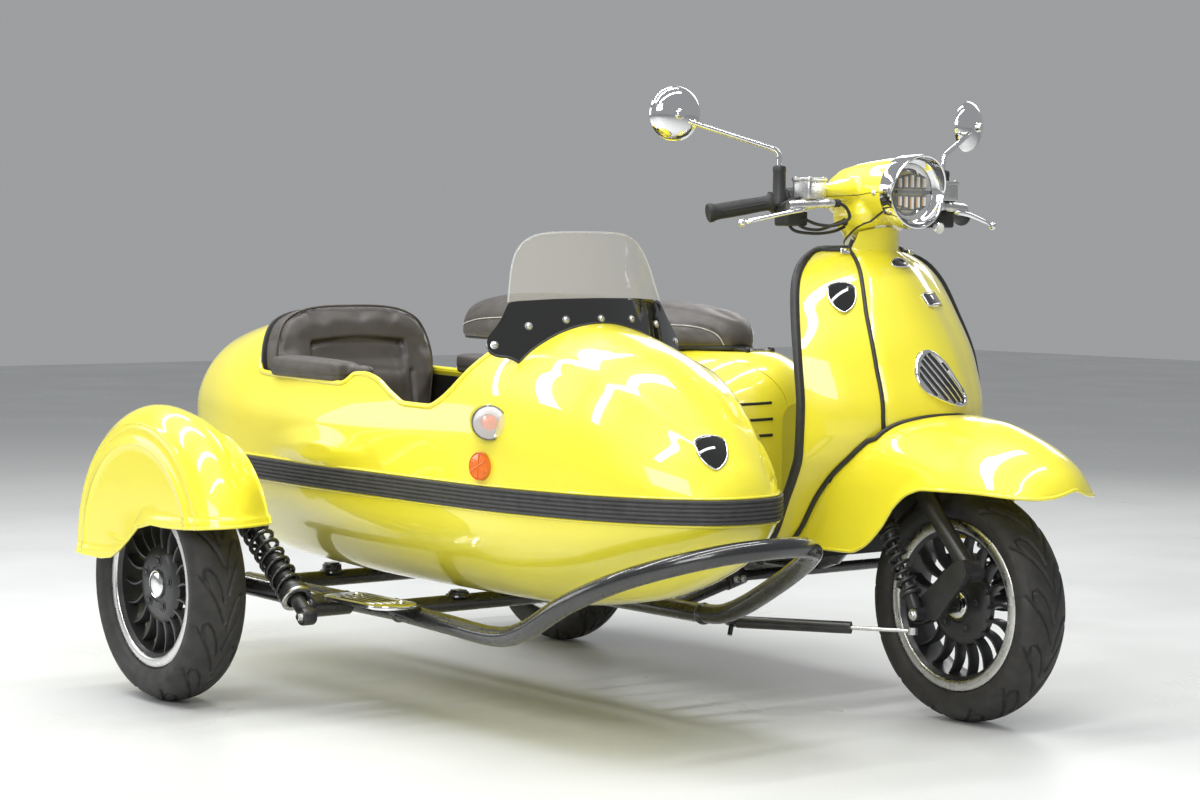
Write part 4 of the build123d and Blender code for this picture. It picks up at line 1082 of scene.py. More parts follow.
def rounded_outline(length, width, radius, steps=8):
    points = []
    for cx, cy, start in ((1, 1, 0), (-1, 1, 90), (-1, -1, 180), (1, -1, 270)):
        for step in range(steps + 1):
            angle = radians(start + 90 * step / steps)
            points.append((cx * (length / 2 - radius) + radius * cos(angle),
                           cy * (width / 2 - radius) + radius * sin(angle)))
    return points


def bolt(name, spot, direction, radius, height, material="silver", kind="hex"):
    """Fastener head on a washer, its underside at the spot."""
    washer = turned(name, [(0, 0), (0, radius * 1.45), (radius * 0.25, radius * 1.5),
                           (radius * 0.3, radius * 1.3), (radius * 0.3, 0)], spot, direction, material, 28)
    foot = radius * 0.3
    if kind == "hex":
        head = [(foot, 0), (foot, radius), (height * 0.85, radius), (height, radius * 0.8), (height, 0)]
        top = turned(name, head, spot, direction, material, 6, 20)
    else:
        head = [(foot, 0), (foot, radius), (height * 0.5, radius * 0.97), (height * 0.85, radius * 0.75),
                (height, radius * 0.42), (height * 0.7, radius * 0.36), (height * 0.7, 0)]
        top = turned(name, head, spot, direction, material, 24, 40)
    return join(name, [washer, top])


def bent_path(points, bend, steps=7):
    """Straight runs with each corner rounded over the same length."""
    points = [Vector(p) for p in points]
    path = [points[0]]
    for before, corner, after in zip(points, points[1:], points[2:]):
        back, ahead = before - corner, after - corner
        cut = min(bend, back.length * 0.48, ahead.length * 0.48)
        start, stop = corner + back.normalized() * cut, corner + ahead.normalized() * cut
        for step in range(steps + 1):
            t = step / steps
            path.append(start * (1 - t) ** 2 + corner * 2 * t * (1 - t) + stop * t**2)
    path.append(points[-1])
    return path


def coil(name, start, stop, radius, wire, turns, material, per_turn=18):
    """Compression spring between two points, its end turns lying flat."""
    start, stop = Vector(start), Vector(stop)
    way = stop - start
    side = way.orthogonal().normalized()
    across = way.normalized().cross(side)
    count = int(turns * per_turn)
    path = []
    for step in range(count + 1):
        share = step / count
        rise = np.clip((share - 0.06) / 0.88, 0, 1)
        angle = 2 * pi * turns * share
        path.append(start + way * float(rise) + (side * cos(angle) + across * sin(angle)) * radius)
    return tube(name, path, wire, material, 10)


# Sidecar wheel's fender: flat face with an arch in relief, a bevelled strip with two ribs, and the crown
GUARD_CENTRE = (0.223, 0.299)
GUARD_PROFILE = (
    # y, radius
    (-1.2240, 0.034), (-1.2240, 0.060), (-1.2240, 0.100), (-1.2240, 0.140), (-1.2240, 0.180),
    (-1.2240, 0.205), (-1.2238, 0.2195), (-1.2250, 0.2215), (-1.2255, 0.2240), (-1.2240, 0.2265),
    (-1.2225, 0.2290), (-1.2210, 0.2400), (-1.2195, 0.2520), (-1.2200, 0.2540), (-1.2200, 0.2560),
    (-1.2180, 0.2580), (-1.2175, 0.2610), (-1.2180, 0.2630), (-1.2175, 0.2650), (-1.2150, 0.2670),
    (-1.2110, 0.2720), (-1.2060, 0.2790), (-1.1980, 0.2860), (-1.1880, 0.2925), (-1.1780, 0.2968),
    (-1.1680, 0.2988), (-1.1560, 0.2985), (-1.1440, 0.2962), (-1.1300, 0.2910), (-1.1120, 0.2822),
    (-1.0940, 0.2710), (-1.0760, 0.2585), (-1.0620, 0.2485), (-1.0500, 0.2400),
)
GUARD_EDGE = (
    (-0.200, 0.2845), (-0.070, 0.2825), (0.030, 0.2815), (0.085, 0.2820), (0.110, 0.2840),
    (0.132, 0.2900), (0.155, 0.3010), (0.190, 0.3220), (0.222, 0.3440), (0.245, 0.3590), (0.262, 0.3655),
    (0.285, 0.3680), (0.350, 0.3670), (0.430, 0.3700), (0.530, 0.3770),
)
GUARD_BAND = 0.0135
GUARD_MIDDLE = -1.13


def make_sidecar_fender():
    cx, cz = GUARD_CENTRE
    edge = np.array(GUARD_EDGE)
    edge_x = np.linspace(edge[0, 0], edge[-1, 0], 500)
    edge_z = smooth_table(GUARD_EDGE)(edge_x)[:, 0]
    distance = np.hypot(edge_x - cx, edge_z - cz)
    heading = np.unwrap(np.arctan2(edge_z - cz, edge_x - cx)[::-1])[::-1]
    nearest = int(np.argmin(distance))
    near_end = np.array([0, 0.004, 0.009, 0.0125, 0.0145, 0.018, 0.026, 0.040])
    columns = 96
    rows = []
    profile = [(y, max(r, distance[nearest] + 0.0005)) for y, r in GUARD_PROFILE]
    for y, radius in profile:
        behind = np.interp(radius, distance[:nearest + 1][::-1], heading[:nearest + 1][::-1])
        ahead = np.interp(radius, distance[nearest:], heading[nearest:])
        length = radius * abs(behind - ahead)
        ends = near_end * min(1.0, length / 0.2)
        inner = np.linspace(ends[-1], length - ends[-1], columns - 2 * len(near_end) + 2)[1:-1]
        walk = np.concatenate([ends, inner, (length - ends)[::-1]])
        angle = behind + (ahead - behind) * walk / length
        rows.append(np.stack([cx + radius * np.cos(angle), np.full_like(angle, y),
                              cz + radius * np.sin(angle)], -1))
    points = np.array(rows)
    gap = np.min(np.hypot(points[..., 0, None] - edge_x, points[..., 2, None] - edge_z), axis=-1)
    lift = 0.0030 * np.clip(1 - (gap - GUARD_BAND) / 0.0025, 0, 1)
    normal = grid_normals(points)
    outside = np.sum(normal * (points - np.array([cx, GUARD_MIDDLE, cz])), axis=-1).mean()
    normal = normal if outside > 0 else -normal
    points = points + normal * lift[..., None]
    faces = grid_faces(*points.shape[:2])
    mesh = skin("sidecar_fender_dressed", points, faces, "yellow_paint", (cx, GUARD_MIDDLE, cz), FENDER_WALL)
    finish_piece(mesh, "root", ["sidecar_fender"])
    rim_line = [*points[::-1, 0], *points[1:, -1]]
    bead("sidecar_fender_bead", shifted(rim_line[:-1]), 0.0033, "yellow_paint")
    bead("sidecar_fender_inner_bead", shifted(points[-1]), 0.0033, "yellow_paint")
    spot, way = at(-0.040, -1.165, 0.438), Vector((-0.86, -0.05, 0.5))
    lamp = turned("fender_marker", [(-0.004, 0), (-0.004, 0.016), (0.008, 0.0165), (0.014, 0.014),
                                    (0.014, 0.0125),
                                    (0.011, 0.0115), (0.0135, 0.008), (0.0150, 0)], spot, way, "chrome", 36)
    finish_piece(lamp, "root")


# Windscreen: one leaning curved sheet, black where it is bolted to the cowl
SCREEN_FOOT = 0.690
SCREEN_FOOT_X = 1.012
SCREEN_LEAN = 80 / 270
SCREEN_RADIUS = 0.436
SCREEN_ROWS = (
    # height, half-width
    (0.8150, 0.1810), (0.8450, 0.1735), (0.8730, 0.1665), (0.9000, 0.1560), (0.9180, 0.1440),
    (0.9320, 0.1270), (0.9400, 0.1080), (0.9440, 0.0850), (0.9460, 0.0500), (0.9466, 0.0020),
)
BAND_ROWS = (
    # distance from the middle, lower edge's lift, upper edge
    (0.000, 0.8222), (0.080, 0.8212), (0.140, 0.8185), (0.172, 0.8160), (0.181, 0.8130), (0.187, 0.8040),
    (0.196, 0.7880), (0.206, 0.7730), (0.217, 0.7600), (0.226, 0.7480), (0.2300, 0.7350),
)
LOBE_ROWS = (
    (0.000, 0.5000), (0.150, 0.6200), (0.178, 0.7020), (0.190, 0.7105), (0.200, 0.7135), (0.208, 0.7145),
    (0.216, 0.7165), (0.224, 0.7215), (0.2300, 0.7345),
)
SCREEN_BOLTS = ((0.0, 0.783), (0.078, 0.7815), (0.152, 0.7700), (0.216, 0.7350))


def screen_point(across, z):
    x = SCREEN_FOOT_X - (z - SCREEN_FOOT) * SCREEN_LEAN - SCREEN_RADIUS
    return np.stack([x + np.sqrt(SCREEN_RADIUS**2 - across**2), CAR_Y + across, z], -1)


def shell_height(x, across):
    """Height of the body's top surface above a point."""
    shares = np.linspace(0.02, 0.5, 200)
    out = np.zeros_like(x)
    for place, (px, py) in enumerate(zip(x, across)):
        ring = car_surface(np.full_like(shares, px), shares, 1)
        out[place] = np.interp(-abs(py), -(ring[:, 1] - CAR_Y), ring[:, 2])
    return out


def screen_foot(across):
    """Height at which the screen meets the body."""
    z = np.full_like(across, 0.74)
    for _ in range(12):
        z = 0.5 * z + 0.5 * shell_height(screen_point(across, z)[:, 0], across)
    return z


def screen_normal(across, z):
    step = 0.001

    def spot(y, height):
        return screen_point(np.array(y), np.array(height))

    a = spot(across + step, z) - spot(across - step, z)
    b = spot(across, z + step) - spot(across, z - step)
    normal = Vector(np.cross(a, b)).normalized()
    return normal if normal.x > 0 else -normal


def make_windscreen():
    walk = np.sin(np.linspace(0, pi / 2, 44))
    across = np.linspace(-1, 1, 61)
    z0 = SCREEN_ROWS[0][0] + (SCREEN_ROWS[-1][0] - SCREEN_ROWS[0][0]) * walk
    width = smooth_table(SCREEN_ROWS)(z0)[:, 0]
    y = width[:, None] * across[None]
    z = z0[:, None] + 0.0070 * (1 - (y / 0.181) ** 2) * (1 - walk[:, None]) ** 2
    points = screen_point(y, z)
    clear = skin("windscreen_dressed", points, grid_faces(44, 61), "clear_screen", (0.6, CAR_Y, 0.8), 0.003)
    finish_piece(clear, "root", ["windscreen"])
    rim_line = [*points[:, 0], *points[::-1, -1]]
    bead("windscreen_edge", spline_points(shifted(rim_line[::3]), 4), 0.0019, "lens_clear")
    columns = 121
    y = np.linspace(-1, 1, columns) * BAND_ROWS[-1][0]
    top = smooth_table(BAND_ROWS)(np.abs(y))[:, 0]
    low = np.maximum(screen_foot(y) + 0.0005, smooth_table(LOBE_ROWS)(np.abs(y))[:, 0])
    share = np.linspace(0, 1, 16)[:, None]
    z = low[None] + (top - low)[None] * share
    points = screen_point(np.broadcast_to(y, z.shape), z)
    points[..., 0] += 0.0012
    faces = grid_faces(16, columns)
    band = skin("windscreen_band_dressed", points, faces, "black_acrylic", (0.6, CAR_Y, 0.7), 0.0055)
    bevelled(band, 0.0008)
    finish_piece(band, "root", ["windscreen_band"])
    bead("windscreen_gasket", shifted(screen_point(y, low))[1:-1], 0.0026, "trim_rubber")
    heads = []
    for distance, z in SCREEN_BOLTS:
        for side in ((-1, 1) if distance else (1,)):
            spot = Vector(screen_point(np.array(side * distance), np.array(z))) + MOVE
            way = screen_normal(side * distance, z)
            heads.append(bolt("screw", spot + way * 0.001, way, 0.0050, 0.0042, "silver", "pan"))
    gather("windscreen_screws", heads, "root")


# Lamp, reflector and badges on the sidecar
def make_sidecar_lamps():
    spot, way = at(0.957, -0.881, 0.594), Vector((0.86, -0.50, 0.02))
    for part, profile, material, segments, nodes in (
        ("barrel", [(-0.030, 0), (-0.030, 0.0335), (0.024, 0.0335), (0.030, 0.0325), (0.030, 0.0305),
                    (0.026, 0.0300), (0.026, 0)], "black_acrylic", 64, ["sidecar_lamps"]),
        ("bowl", [(0.0265, 0.0298), (0.0290, 0.0290), (0.0270, 0.0240), (0.0262, 0.0170), (0.0262, 0)],
         "chrome", 64, ()),
        ("bulb", [(0.0262, 0), (0.0262, 0.0152), (0.0330, 0.0150), (0.0375, 0.0125), (0.0400, 0.0070),
                  (0.0405, 0)], "lens_amber", 48, ()),
        ("cover", [(0.0300, 0.0318), (0.0360, 0.0312), (0.0410, 0.0285), (0.0432, 0.0240),
                   (0.0442, 0.0120), (0.0445, 0), (0.0432, 0), (0.0430, 0.0120), (0.0420, 0.0234),
                   (0.0400, 0.0275), (0.0355, 0.0300), (0.0300, 0.0306)], "lens_clear", 64, ()),
    ):
        piece = turned(f"sidecar_lamp_{part}", profile, spot, way, material, segments)
        finish_piece(piece, "root", nodes)
    ribs, count = [], 30
    for step in range(count):
        angle = 2 * pi * step / count
        rib = turned("rib", [(0.0300, 0), (0.0300, 0.0012), (0.0370, 0.0010), (0.0385, 0)],
                     Vector((0.0295 * cos(angle), 0.0295 * sin(angle), 0)), (0, 0, 1), "lens_clear", 8)
        ribs.append(place_on(rib, spot, way))
    gather("sidecar_lamp_ribs", ribs, "root")
    spot, way = at(0.950, -0.889, 0.512), Vector((0.115, -0.99, 0.07))
    case = turned("reflector_case", [(-0.012, 0), (-0.012, 0.0265), (0.0085, 0.0265), (0.0100, 0.0255),
                                     (0.0100, 0.0240), (0.0080, 0.0236), (0.0080, 0)], spot, way,
                                     "lens_amber", 64)
    finish_piece(case, "root")
    face = [(0.0082, 0), (0.0082, 0.0234), (0.0094, 0.0228), (0.0102, 0.0150), (0.0105, 0)]
    parts = [turned("reflector_face", face, spot, way, "lens_amber", 64)]
    for step in range(3):
        bar = prism("bar", rounded_outline(0.0440, 0.0022, 0.0008, 3), 0.0095, 0.0118, "lens_amber",
                    edge=0.0004)
        bar.data.transform(Matrix.Rotation(pi * step / 3 + 0.5, 4, "Z"))
        parts.append(place_on(bar, spot, way))
    gather("reflector_face", parts, "root")


def shield_outline(width, height):
    """Heater-shield outline, point down."""
    half = width / 2
    right = [(0.0, 0.50), (0.55, 0.47), (1.0, 0.36), (1.02, 0.10), (0.92, -0.12), (0.66, -0.32),
             (0.30, -0.46), (0.0, -0.52)]
    points = [(a * half, b * height) for a, b in right]
    points += [(-a * half, b * height) for a, b in right[-2:0:-1]]
    return points


def make_badge(name, outline, spot, way, up, bow=0.0, lift=0.0):
    """Bare enamel plate in a polished rim; bow and lift are its radii across and up, if curved."""
    normal = Vector(way).normalized()
    across = Vector(up).cross(normal).normalized()
    top = normal.cross(across)
    turn = Matrix((across, top, normal)).transposed().to_4x4()
    plate = prism(name, [(a * 0.90, b * 0.90) for a, b in outline], 0.0, 0.0022, "black_acrylic", edge=0.0005)
    loop = spline_points([(a * 0.95, b * 0.95, 0.0014) for a, b in outline], 6, closed=True)
    rim = tube(name + "_rim", loop, 0.0015, "chrome", 8, closed=True)
    backing = prism(name + "_back", [(a * 0.96, b * 0.96) for a, b in outline], -0.003, 0.0004, "chrome")
    for piece in (plate, rim, backing):
        if bow:
            for vertex in piece.data.vertices:
                vertex.co.z -= vertex.co.x**2 / (2 * bow) + (vertex.co.y**2 / (2 * lift) if lift else 0)
        piece.data.transform(Matrix.Translation(spot) @ turn)
    finish_piece(plate, "root")
    finish_piece(join(name + "_rim", [rim, backing]), "root")


def make_badges():
    step = 0.004
    x, share = 1.372, 0.635
    here = car_surface(np.array(x), np.array(share), 1)
    a = car_surface(np.array(x + step), np.array(share), 1) - here
    b = car_surface(np.array(x), np.array(share + step), 1) - here
    normal = Vector(np.cross(a, b)).normalized()
    normal = normal if normal.x > 0 else -normal
    spot = Vector(here) + MOVE + normal * 0.0035
    make_badge("sidecar_badge", shield_outline(0.060, 0.074), spot, normal, (0, 0, 1), 0.11, 0.16)
    oval = [(0.0270 * cos(t), 0.0125 * sin(t)) for t in np.linspace(0, 2 * pi, 32, endpoint=False)]

    def on_panel(y, z):
        return np.array([float(panel_front(np.array(y), np.array(z))), y, z])

    for name, outline, y, z, radius, lift in (
        ("panel_badge", oval, 0.012, 0.889, 0.065, 0.0022),
        ("shield_plate", rounded_outline(0.082, 0.030, 0.004), 0.068, 0.818, 0.10, 0.0050),
        ("shield_badge", shield_outline(0.058, 0.070), -0.1415, 0.822, 0.20, 0.0022),
    ):
        spot = on_panel(y, z)
        normal = Vector(np.cross(on_panel(y + step, z) - spot, on_panel(y, z + step) - spot)).normalized()
        make_badge(name, outline, Vector(spot) + MOVE + normal * lift, normal, (0, 0, 1), radius)


# Horn cover on the legshield: outline as (y, z), widest low down, its point up towards the lamp
HORN_OUTLINE = (
    (-0.020, 0.7215), (-0.042, 0.7130), (-0.056, 0.6880), (-0.060, 0.6660), (-0.054, 0.6450),
    (-0.032, 0.6290), (0.001, 0.6160), (0.034, 0.6090), (0.060, 0.6130), (0.066, 0.6280), (0.042, 0.6650),
    (0.023, 0.6920), (-0.002, 0.7160),
)


HORN_RINGS = (
    # scale of the outline, height above the panel
    (1.0, -0.004), (1.0, 0.004), (0.985, 0.0062), (0.94, 0.0072), (0.895, 0.0066), (0.88, 0.0040),
    (0.87, 0.0015), (0.60, 0.0015), (0.30, 0.0015), (0.0, 0.0015),
)


def horn_spot(y, z, lift):
    """Point on the horn cover's face; lift is the height above the panel."""
    return Vector((float(panel_front(np.array(y), np.array(z))) + lift, y, z))


def make_horn_cover():
    middle = np.mean(np.array(HORN_OUTLINE), axis=0)
    loop = [(p.x, p.y) for p in spline_points([(y, z, 0) for y, z in HORN_OUTLINE], 6, closed=True)]

    def scaled(scale):
        return [(middle[0] + (y - middle[0]) * scale, middle[1] + (z - middle[1]) * scale) for y, z in loop]

    verts = [horn_spot(y, z, lift) + MOVE for scale, lift in HORN_RINGS for y, z in scaled(scale)]
    cover = link("horn_cover", verts, grid_faces(len(HORN_RINGS), len(loop), close_columns=True), "chrome")
    crease(outward(cover), 40)
    finish_piece(cover, "root")
    edge = np.array(scaled(0.875))
    dark, bright, count = [], [], 8
    # Black tubes in the gaps between the slats: painted shade for the dark inside of the slots.
    for slat in range(count):
        path = []
        for share in np.linspace(0, 1, 40):
            offset = -0.050 + 0.0125 * slat + 0.016 * (1 - (2 * share - 1) ** 2) * (slat - count / 2) / 4
            y = -0.035 + 0.115 * share + 0.62 * offset
            z = 0.735 - 0.145 * share + 0.55 * offset
            sides = edge - np.array([y, z])
            turn = np.arctan2(sides[:, 1], sides[:, 0])
            total = np.sum((np.diff(np.concatenate([turn, turn[:1]])) + pi) % (2 * pi) - pi)
            if abs(total) > pi:
                path.append((y, z))
        if len(path) > 3:
            slot = shifted(horn_spot(y, z, 0.0022) for y, z in path)
            dark.append(tube("slot", slot, 0.0030, "black_plastic", 8, flatten=0.6))
            slat_line = shifted(horn_spot(y + 0.0040, z + 0.0036, 0.0030) for y, z in path)
            bright.append(tube("slat", slat_line, 0.0020, "chrome", 8))
    gather("horn_slot_shade", dark, "root")
    gather("horn_slats", bright, "root")
    clips = []
    for y in (-0.090, 0.090):
        spot = shield_point(np.array(0.906), np.array(y / shield_table(np.array(0.906))[1]))
        clip = prism("clip", rounded_outline(0.020, 0.012, 0.003), 0.0, 0.005, "chrome", edge=0.0012)
        place_on(clip, Vector(spot) + MOVE + Vector((0.002, 0, 0.006)), (1, y * 3, 0.4))
        clips.append(clip)
    gather("shield_clips", clips, "root")


def make_glovebox():
    box = prism("glovebox_dressed", rounded_outline(0.225, 0.075, 0.014), 0.564, 0.798, "black_plastic",
                edge=0.006)
    box.data.transform(Matrix.Rotation(pi / 2, 4, "Z"))
    moved(box, 0.9975, 0, 0)
    lid = prism("lid", rounded_outline(0.200, 0.185, 0.016), 0.0, 0.0035, "black_plastic", edge=0.0015)
    lid.data.transform(Matrix.Translation((0.9605, 0, 0.683))
                       @ Matrix.Rotation(-pi / 2, 4, "Y") @ Matrix.Rotation(pi / 2, 4, "Z"))
    box = placed(join("glovebox_dressed", [box, lid]))
    finish_piece(box, "root", ["glovebox"])
    lock = turned("glovebox_lock", [(0, 0), (0, 0.0095), (0.003, 0.0092), (0.0042, 0.0075),
                                    (0.0042, 0.0025), (0.003, 0.0020), (0.003, 0)],
                  at(0.9572, 0, 0.752), (-1, 0, 0), "chrome", 28)
    finish_piece(lock, "root")


# Bodywork under the scooter's seat: side cowls, centre body with the luggage tub, and the seat's hinge
COWL_ROWS = (
    # x, outer half-width, base, top
    (-0.330, 0.120, 0.430, 0.560), (-0.220, 0.196, 0.360, 0.645), (0.060, 0.240, 0.310, 0.700),
    (0.450, 0.246, 0.300, 0.712), (0.600, 0.232, 0.305, 0.710), (0.680, 0.200, 0.315, 0.706),
    (0.740, 0.152, 0.330, 0.692), (0.780, 0.110, 0.345, 0.670), (0.805, 0.077, 0.360, 0.642),
    (0.818, 0.052, 0.375, 0.612), (0.822, 0.038, 0.390, 0.594),
)
cowl_table = smooth_table(COWL_ROWS)
spine_half = smooth_table(((-0.330, 0.0965), (0.600, 0.0965), (0.700, 0.084), (0.760, 0.062),
                           (0.800, 0.040), (0.822, 0.022)))
ARCH_RADIUS = 0.250
COWL_FLOOR = 0.320
TUB_FROM, TUB_TO, TUB_HALF = 0.080, 0.560, 0.084
BODY_TOP = 0.698
TUB_ROWS = (
    # height, half-length, half-width
    (0.500, 0.230, 0.076), (0.688, 0.240, 0.0835), (0.6955, 0.2465, 0.0900), (0.6992, 0.2465, 0.0900),
    (0.6992, 0.2370, 0.0800), (0.690, 0.2350, 0.0785), (0.505, 0.2260, 0.0720),
)
COWL_CORNER = 0.7
COWL_WALL = 0.0045
SPINE_GAP = 0.0008
SLIT_HEIGHTS = (0.597, 0.5635, 0.530)


def cowl_point(x, share):
    row = cowl_table(x)
    y, z = arch_curve(row[..., 0], row[..., 2] - row[..., 1], COWL_CORNER, share)
    return np.stack([x, y, row[..., 1] + z], -1)


def cowl_share(x, reached):
    """Share of the section, up to the crown, at which a test of the point turns false."""
    return last_share(x, lambda share: reached(cowl_point(x, share)))


def make_bodywork():
    xs = np.concatenate([np.linspace(-0.330, -0.252, 12), np.linspace(-0.25, 0.25, 61),
                         np.linspace(0.26, 0.70, 34), np.linspace(0.71, 0.822, 28)])
    arch = REAR_RADIUS + np.sqrt(np.maximum(ARCH_RADIUS**2 - xs**2, 0)) * (abs(xs) < ARCH_RADIUS)
    low = cowl_share(xs, lambda p: p[..., 2] < np.maximum(arch, COWL_FLOOR))
    inner = cowl_share(xs, lambda p: p[..., 1] > spine_half(xs)[..., 0] + SPINE_GAP)
    columns = 44
    grid_x = np.repeat(xs[:, None], columns, 1)
    slits = []
    for side, name in ((1, "left"), (-1, "right")):
        share = low[:, None] + (inner - low)[:, None] * np.linspace(0, 1, columns)[None]
        points = cowl_point(grid_x, share)
        points[..., 1] *= side
        faces = grid_faces(len(xs), columns)
        cowl = skin(f"side_cowl_{name}_dressed", points, faces, "yellow_paint", (0.3, 0, 0.5), COWL_WALL)
        finish_piece(cowl, "root", [f"side_cowl_{name}"])
        bead(f"cowl_bead_{name}", shifted(points[:, 0]), 0.0042, "yellow_paint")
        tree = surface_tree(cowl)
        # Black tubes laid along the louvre slits: painted shade for the dark inside of the openings.
        for z in SLIT_HEIGHTS:
            ys = side * np.linspace(0.058, 0.160, 24)
            starts = [at(1.2, y, z - 0.008 * (abs(y) - 0.058) / 0.10) for y in ys]
            line = laid_line(tree, starts, [(-1, 0, 0)] * len(ys), 0.0)
            slits.append(tube("slit", line, 0.0040, "black_plastic", 8, flatten=0.7))
    gather("cowl_slit_shade", slits, "root")
    across = np.concatenate([np.linspace(-1, -0.88, 4), np.linspace(-0.80, 0.80, 17),
                             np.linspace(0.88, 1, 4)])
    across = across[None] * (spine_half(xs) - SPINE_GAP)
    half, base, crown = (column[:, None] for column in cowl_table(xs).T)
    r2 = arch_radii(half, crown - base, COWL_CORNER)[3]
    top = crown - r2 + np.sqrt(np.maximum(r2**2 - across**2, 0))
    points = np.stack([np.repeat(xs[:, None], across.shape[1], 1), across, np.minimum(top, BODY_TOP)], -1)
    faces = []
    for face in grid_faces(*across.shape):
        middle = np.mean(points.reshape(-1, 3)[list(face)], axis=0)
        if not (TUB_FROM < middle[0] < TUB_TO and abs(middle[1]) < TUB_HALF):
            faces.append(face)
    parts = [skin("tail_body_dressed", points, faces, "yellow_paint", (0.3, 0, 0.3), COWL_WALL)]
    for x in (xs[0], xs[-1]):
        outline = cowl_point(np.full(40, x), np.linspace(0.02, 0.98, 40))
        end = prism("end", [(q[1] * 0.985, q[2]) for q in outline], x - 0.004, x + 0.0005, "yellow_paint",
                    "X")
        parts.append(placed(end))
    gather("tail_body_dressed", parts, "root", ["tail_body"])
    middle = (TUB_FROM + TUB_TO) / 2
    rings = [((middle, 0, z), (a, 0, 0), (0, b, 0)) for z, a, b in TUB_ROWS]
    tub = lofted("luggage_tub", rings, "black_plastic", 64, 7)
    finish_piece(crease(placed(tub), 35), "root")
    ears = []
    for side in (-1, 1):
        ears.append(turned("eye", rod(-0.0045, 0.0045, 0.0075), at(0.703, side * 0.034, 0.7),
                           (0, 1, 0), "black_plastic", 28))
    ears.append(turned("pin", rod(-0.038, 0.038, 0.0035), at(0.703, 0, 0.7), (0, 1, 0), "silver", 20))
    gather("seat_hinge_eyes", ears, "root")


PLATE_Z = 0.360


def make_tail():
    """Tail lamp in its bezel, mudguard with the bare number plate, and the silencer."""
    lamp = prism("tail_light_dressed", rounded_outline(0.100, 0.068, 0.022), -0.371, -0.336, "lens_red", "X",
                 0.008)
    finish_piece(placed(moved(lamp, 0, 0, 0.515)), "root", ["tail_light"])
    bezel = prism("tail_bezel", rounded_outline(0.110, 0.078, 0.026), -0.343, -0.330, "chrome", "X", 0.003)
    finish_piece(placed(moved(bezel, 0, 0, 0.515)), "root")
    profile = [(-0.250, 0.424), (-0.300, 0.330), (-0.345, 0.262), (-0.376, 0.210), (-0.402, 0.166)]
    spots = spline_points([(x, 0, z) for x, z in profile], 8)
    columns, last = np.linspace(-1, 1, 15), len(spots) - 1
    verts = []
    for index, spot in enumerate(spots):
        ahead = spots[min(index + 1, last)] - spots[max(index - 1, 0)]
        out = Vector((-abs(ahead.z), 0, -abs(ahead.x))).normalized()
        half = 0.060 - 0.008 * (index / last) ** 3
        for a in columns:
            verts.append(spot + MOVE + Vector((0, half * a, 0)) - out * 0.016 * a**4)
    flap = link("mudguard_flap", verts, grid_faces(len(spots), len(columns)), "black_plastic")
    solidify(outward(flap), 0.004)
    plate = prism("plate", rounded_outline(0.180, 0.120, 0.010), -0.402, -0.3945, "black_plastic", "X",
                  0.0015)
    placed(moved(plate, 0, 0, PLATE_Z))
    frame_line = [at(-0.402, a, PLATE_Z + b) for a, b in rounded_outline(0.176, 0.116, 0.009)]
    lip = tube("lip", frame_line, 0.0028, "black_plastic", 8, closed=True)
    arm = placed(prism("arm", [(-0.400, 0.404), (-0.262, 0.410), (-0.250, 0.422), (-0.400, 0.420)],
                       -0.030, 0.030, "black_plastic", "Y", 0.003))
    gather("rear_mudguard_dressed", [flap, plate, lip, arm], "root", ["rear_mudguard"])
    bolts = []
    for y in (-0.070, 0.070):
        bolts.append(bolt("bolt", at(-0.402, y, 0.390), (-1, 0, 0), 0.0055, 0.0045, "chrome", "pan"))
    gather("plate_bolts", bolts, "root")
    can = [(-0.012, 0), (-0.010, 0.030), (0.000, 0.046), (0.012, 0.0515), (0.030, 0.052), (0.032, 0.0530),
           (0.044, 0.0530), (0.046, 0.052), (0.300, 0.052), (0.302, 0.0530), (0.314, 0.0530),
           (0.316, 0.052), (0.336, 0.0505), (0.348, 0.040), (0.352, 0.020), (0.352, 0)]
    back = at(-0.260, -0.150, 0.270)
    way = at(0.090, -0.150, 0.250) - back
    mouth = [(-0.030, 0.0), (-0.030, 0.0135), (-0.031, 0.0155), (-0.008, 0.0160), (0.0, 0.0160)]
    bend = bent_path([(0.080, -0.150, 0.250), (0.200, -0.150, 0.245), (0.245, -0.075, 0.231)], 0.05)
    parts = [turned("can", can, back, way, "cast_black", 64),
             turned("outlet", mouth, back, way, "cast_black", 32),
             tube("header", [at(*q) for q in bend], 0.014, "cast_black", 20)]
    gather("exhaust_dressed", parts, "root", ["exhaust"])
    guard = prism("guard", rounded_outline(0.210, 0.058, 0.022, 6), -0.0022, 0.0022, "chrome", edge=0.001)
    for vertex in guard.data.vertices:
        vertex.co.z -= vertex.co.y**2 / (2 * 0.056)
    guard.data.transform(Matrix.Translation(at(-0.075, -0.2035, 0.2625))
                         @ Matrix.Rotation(radians(3.2), 4, "Y") @ Matrix.Rotation(pi / 2, 4, "X"))
    finish_piece(guard, "root")


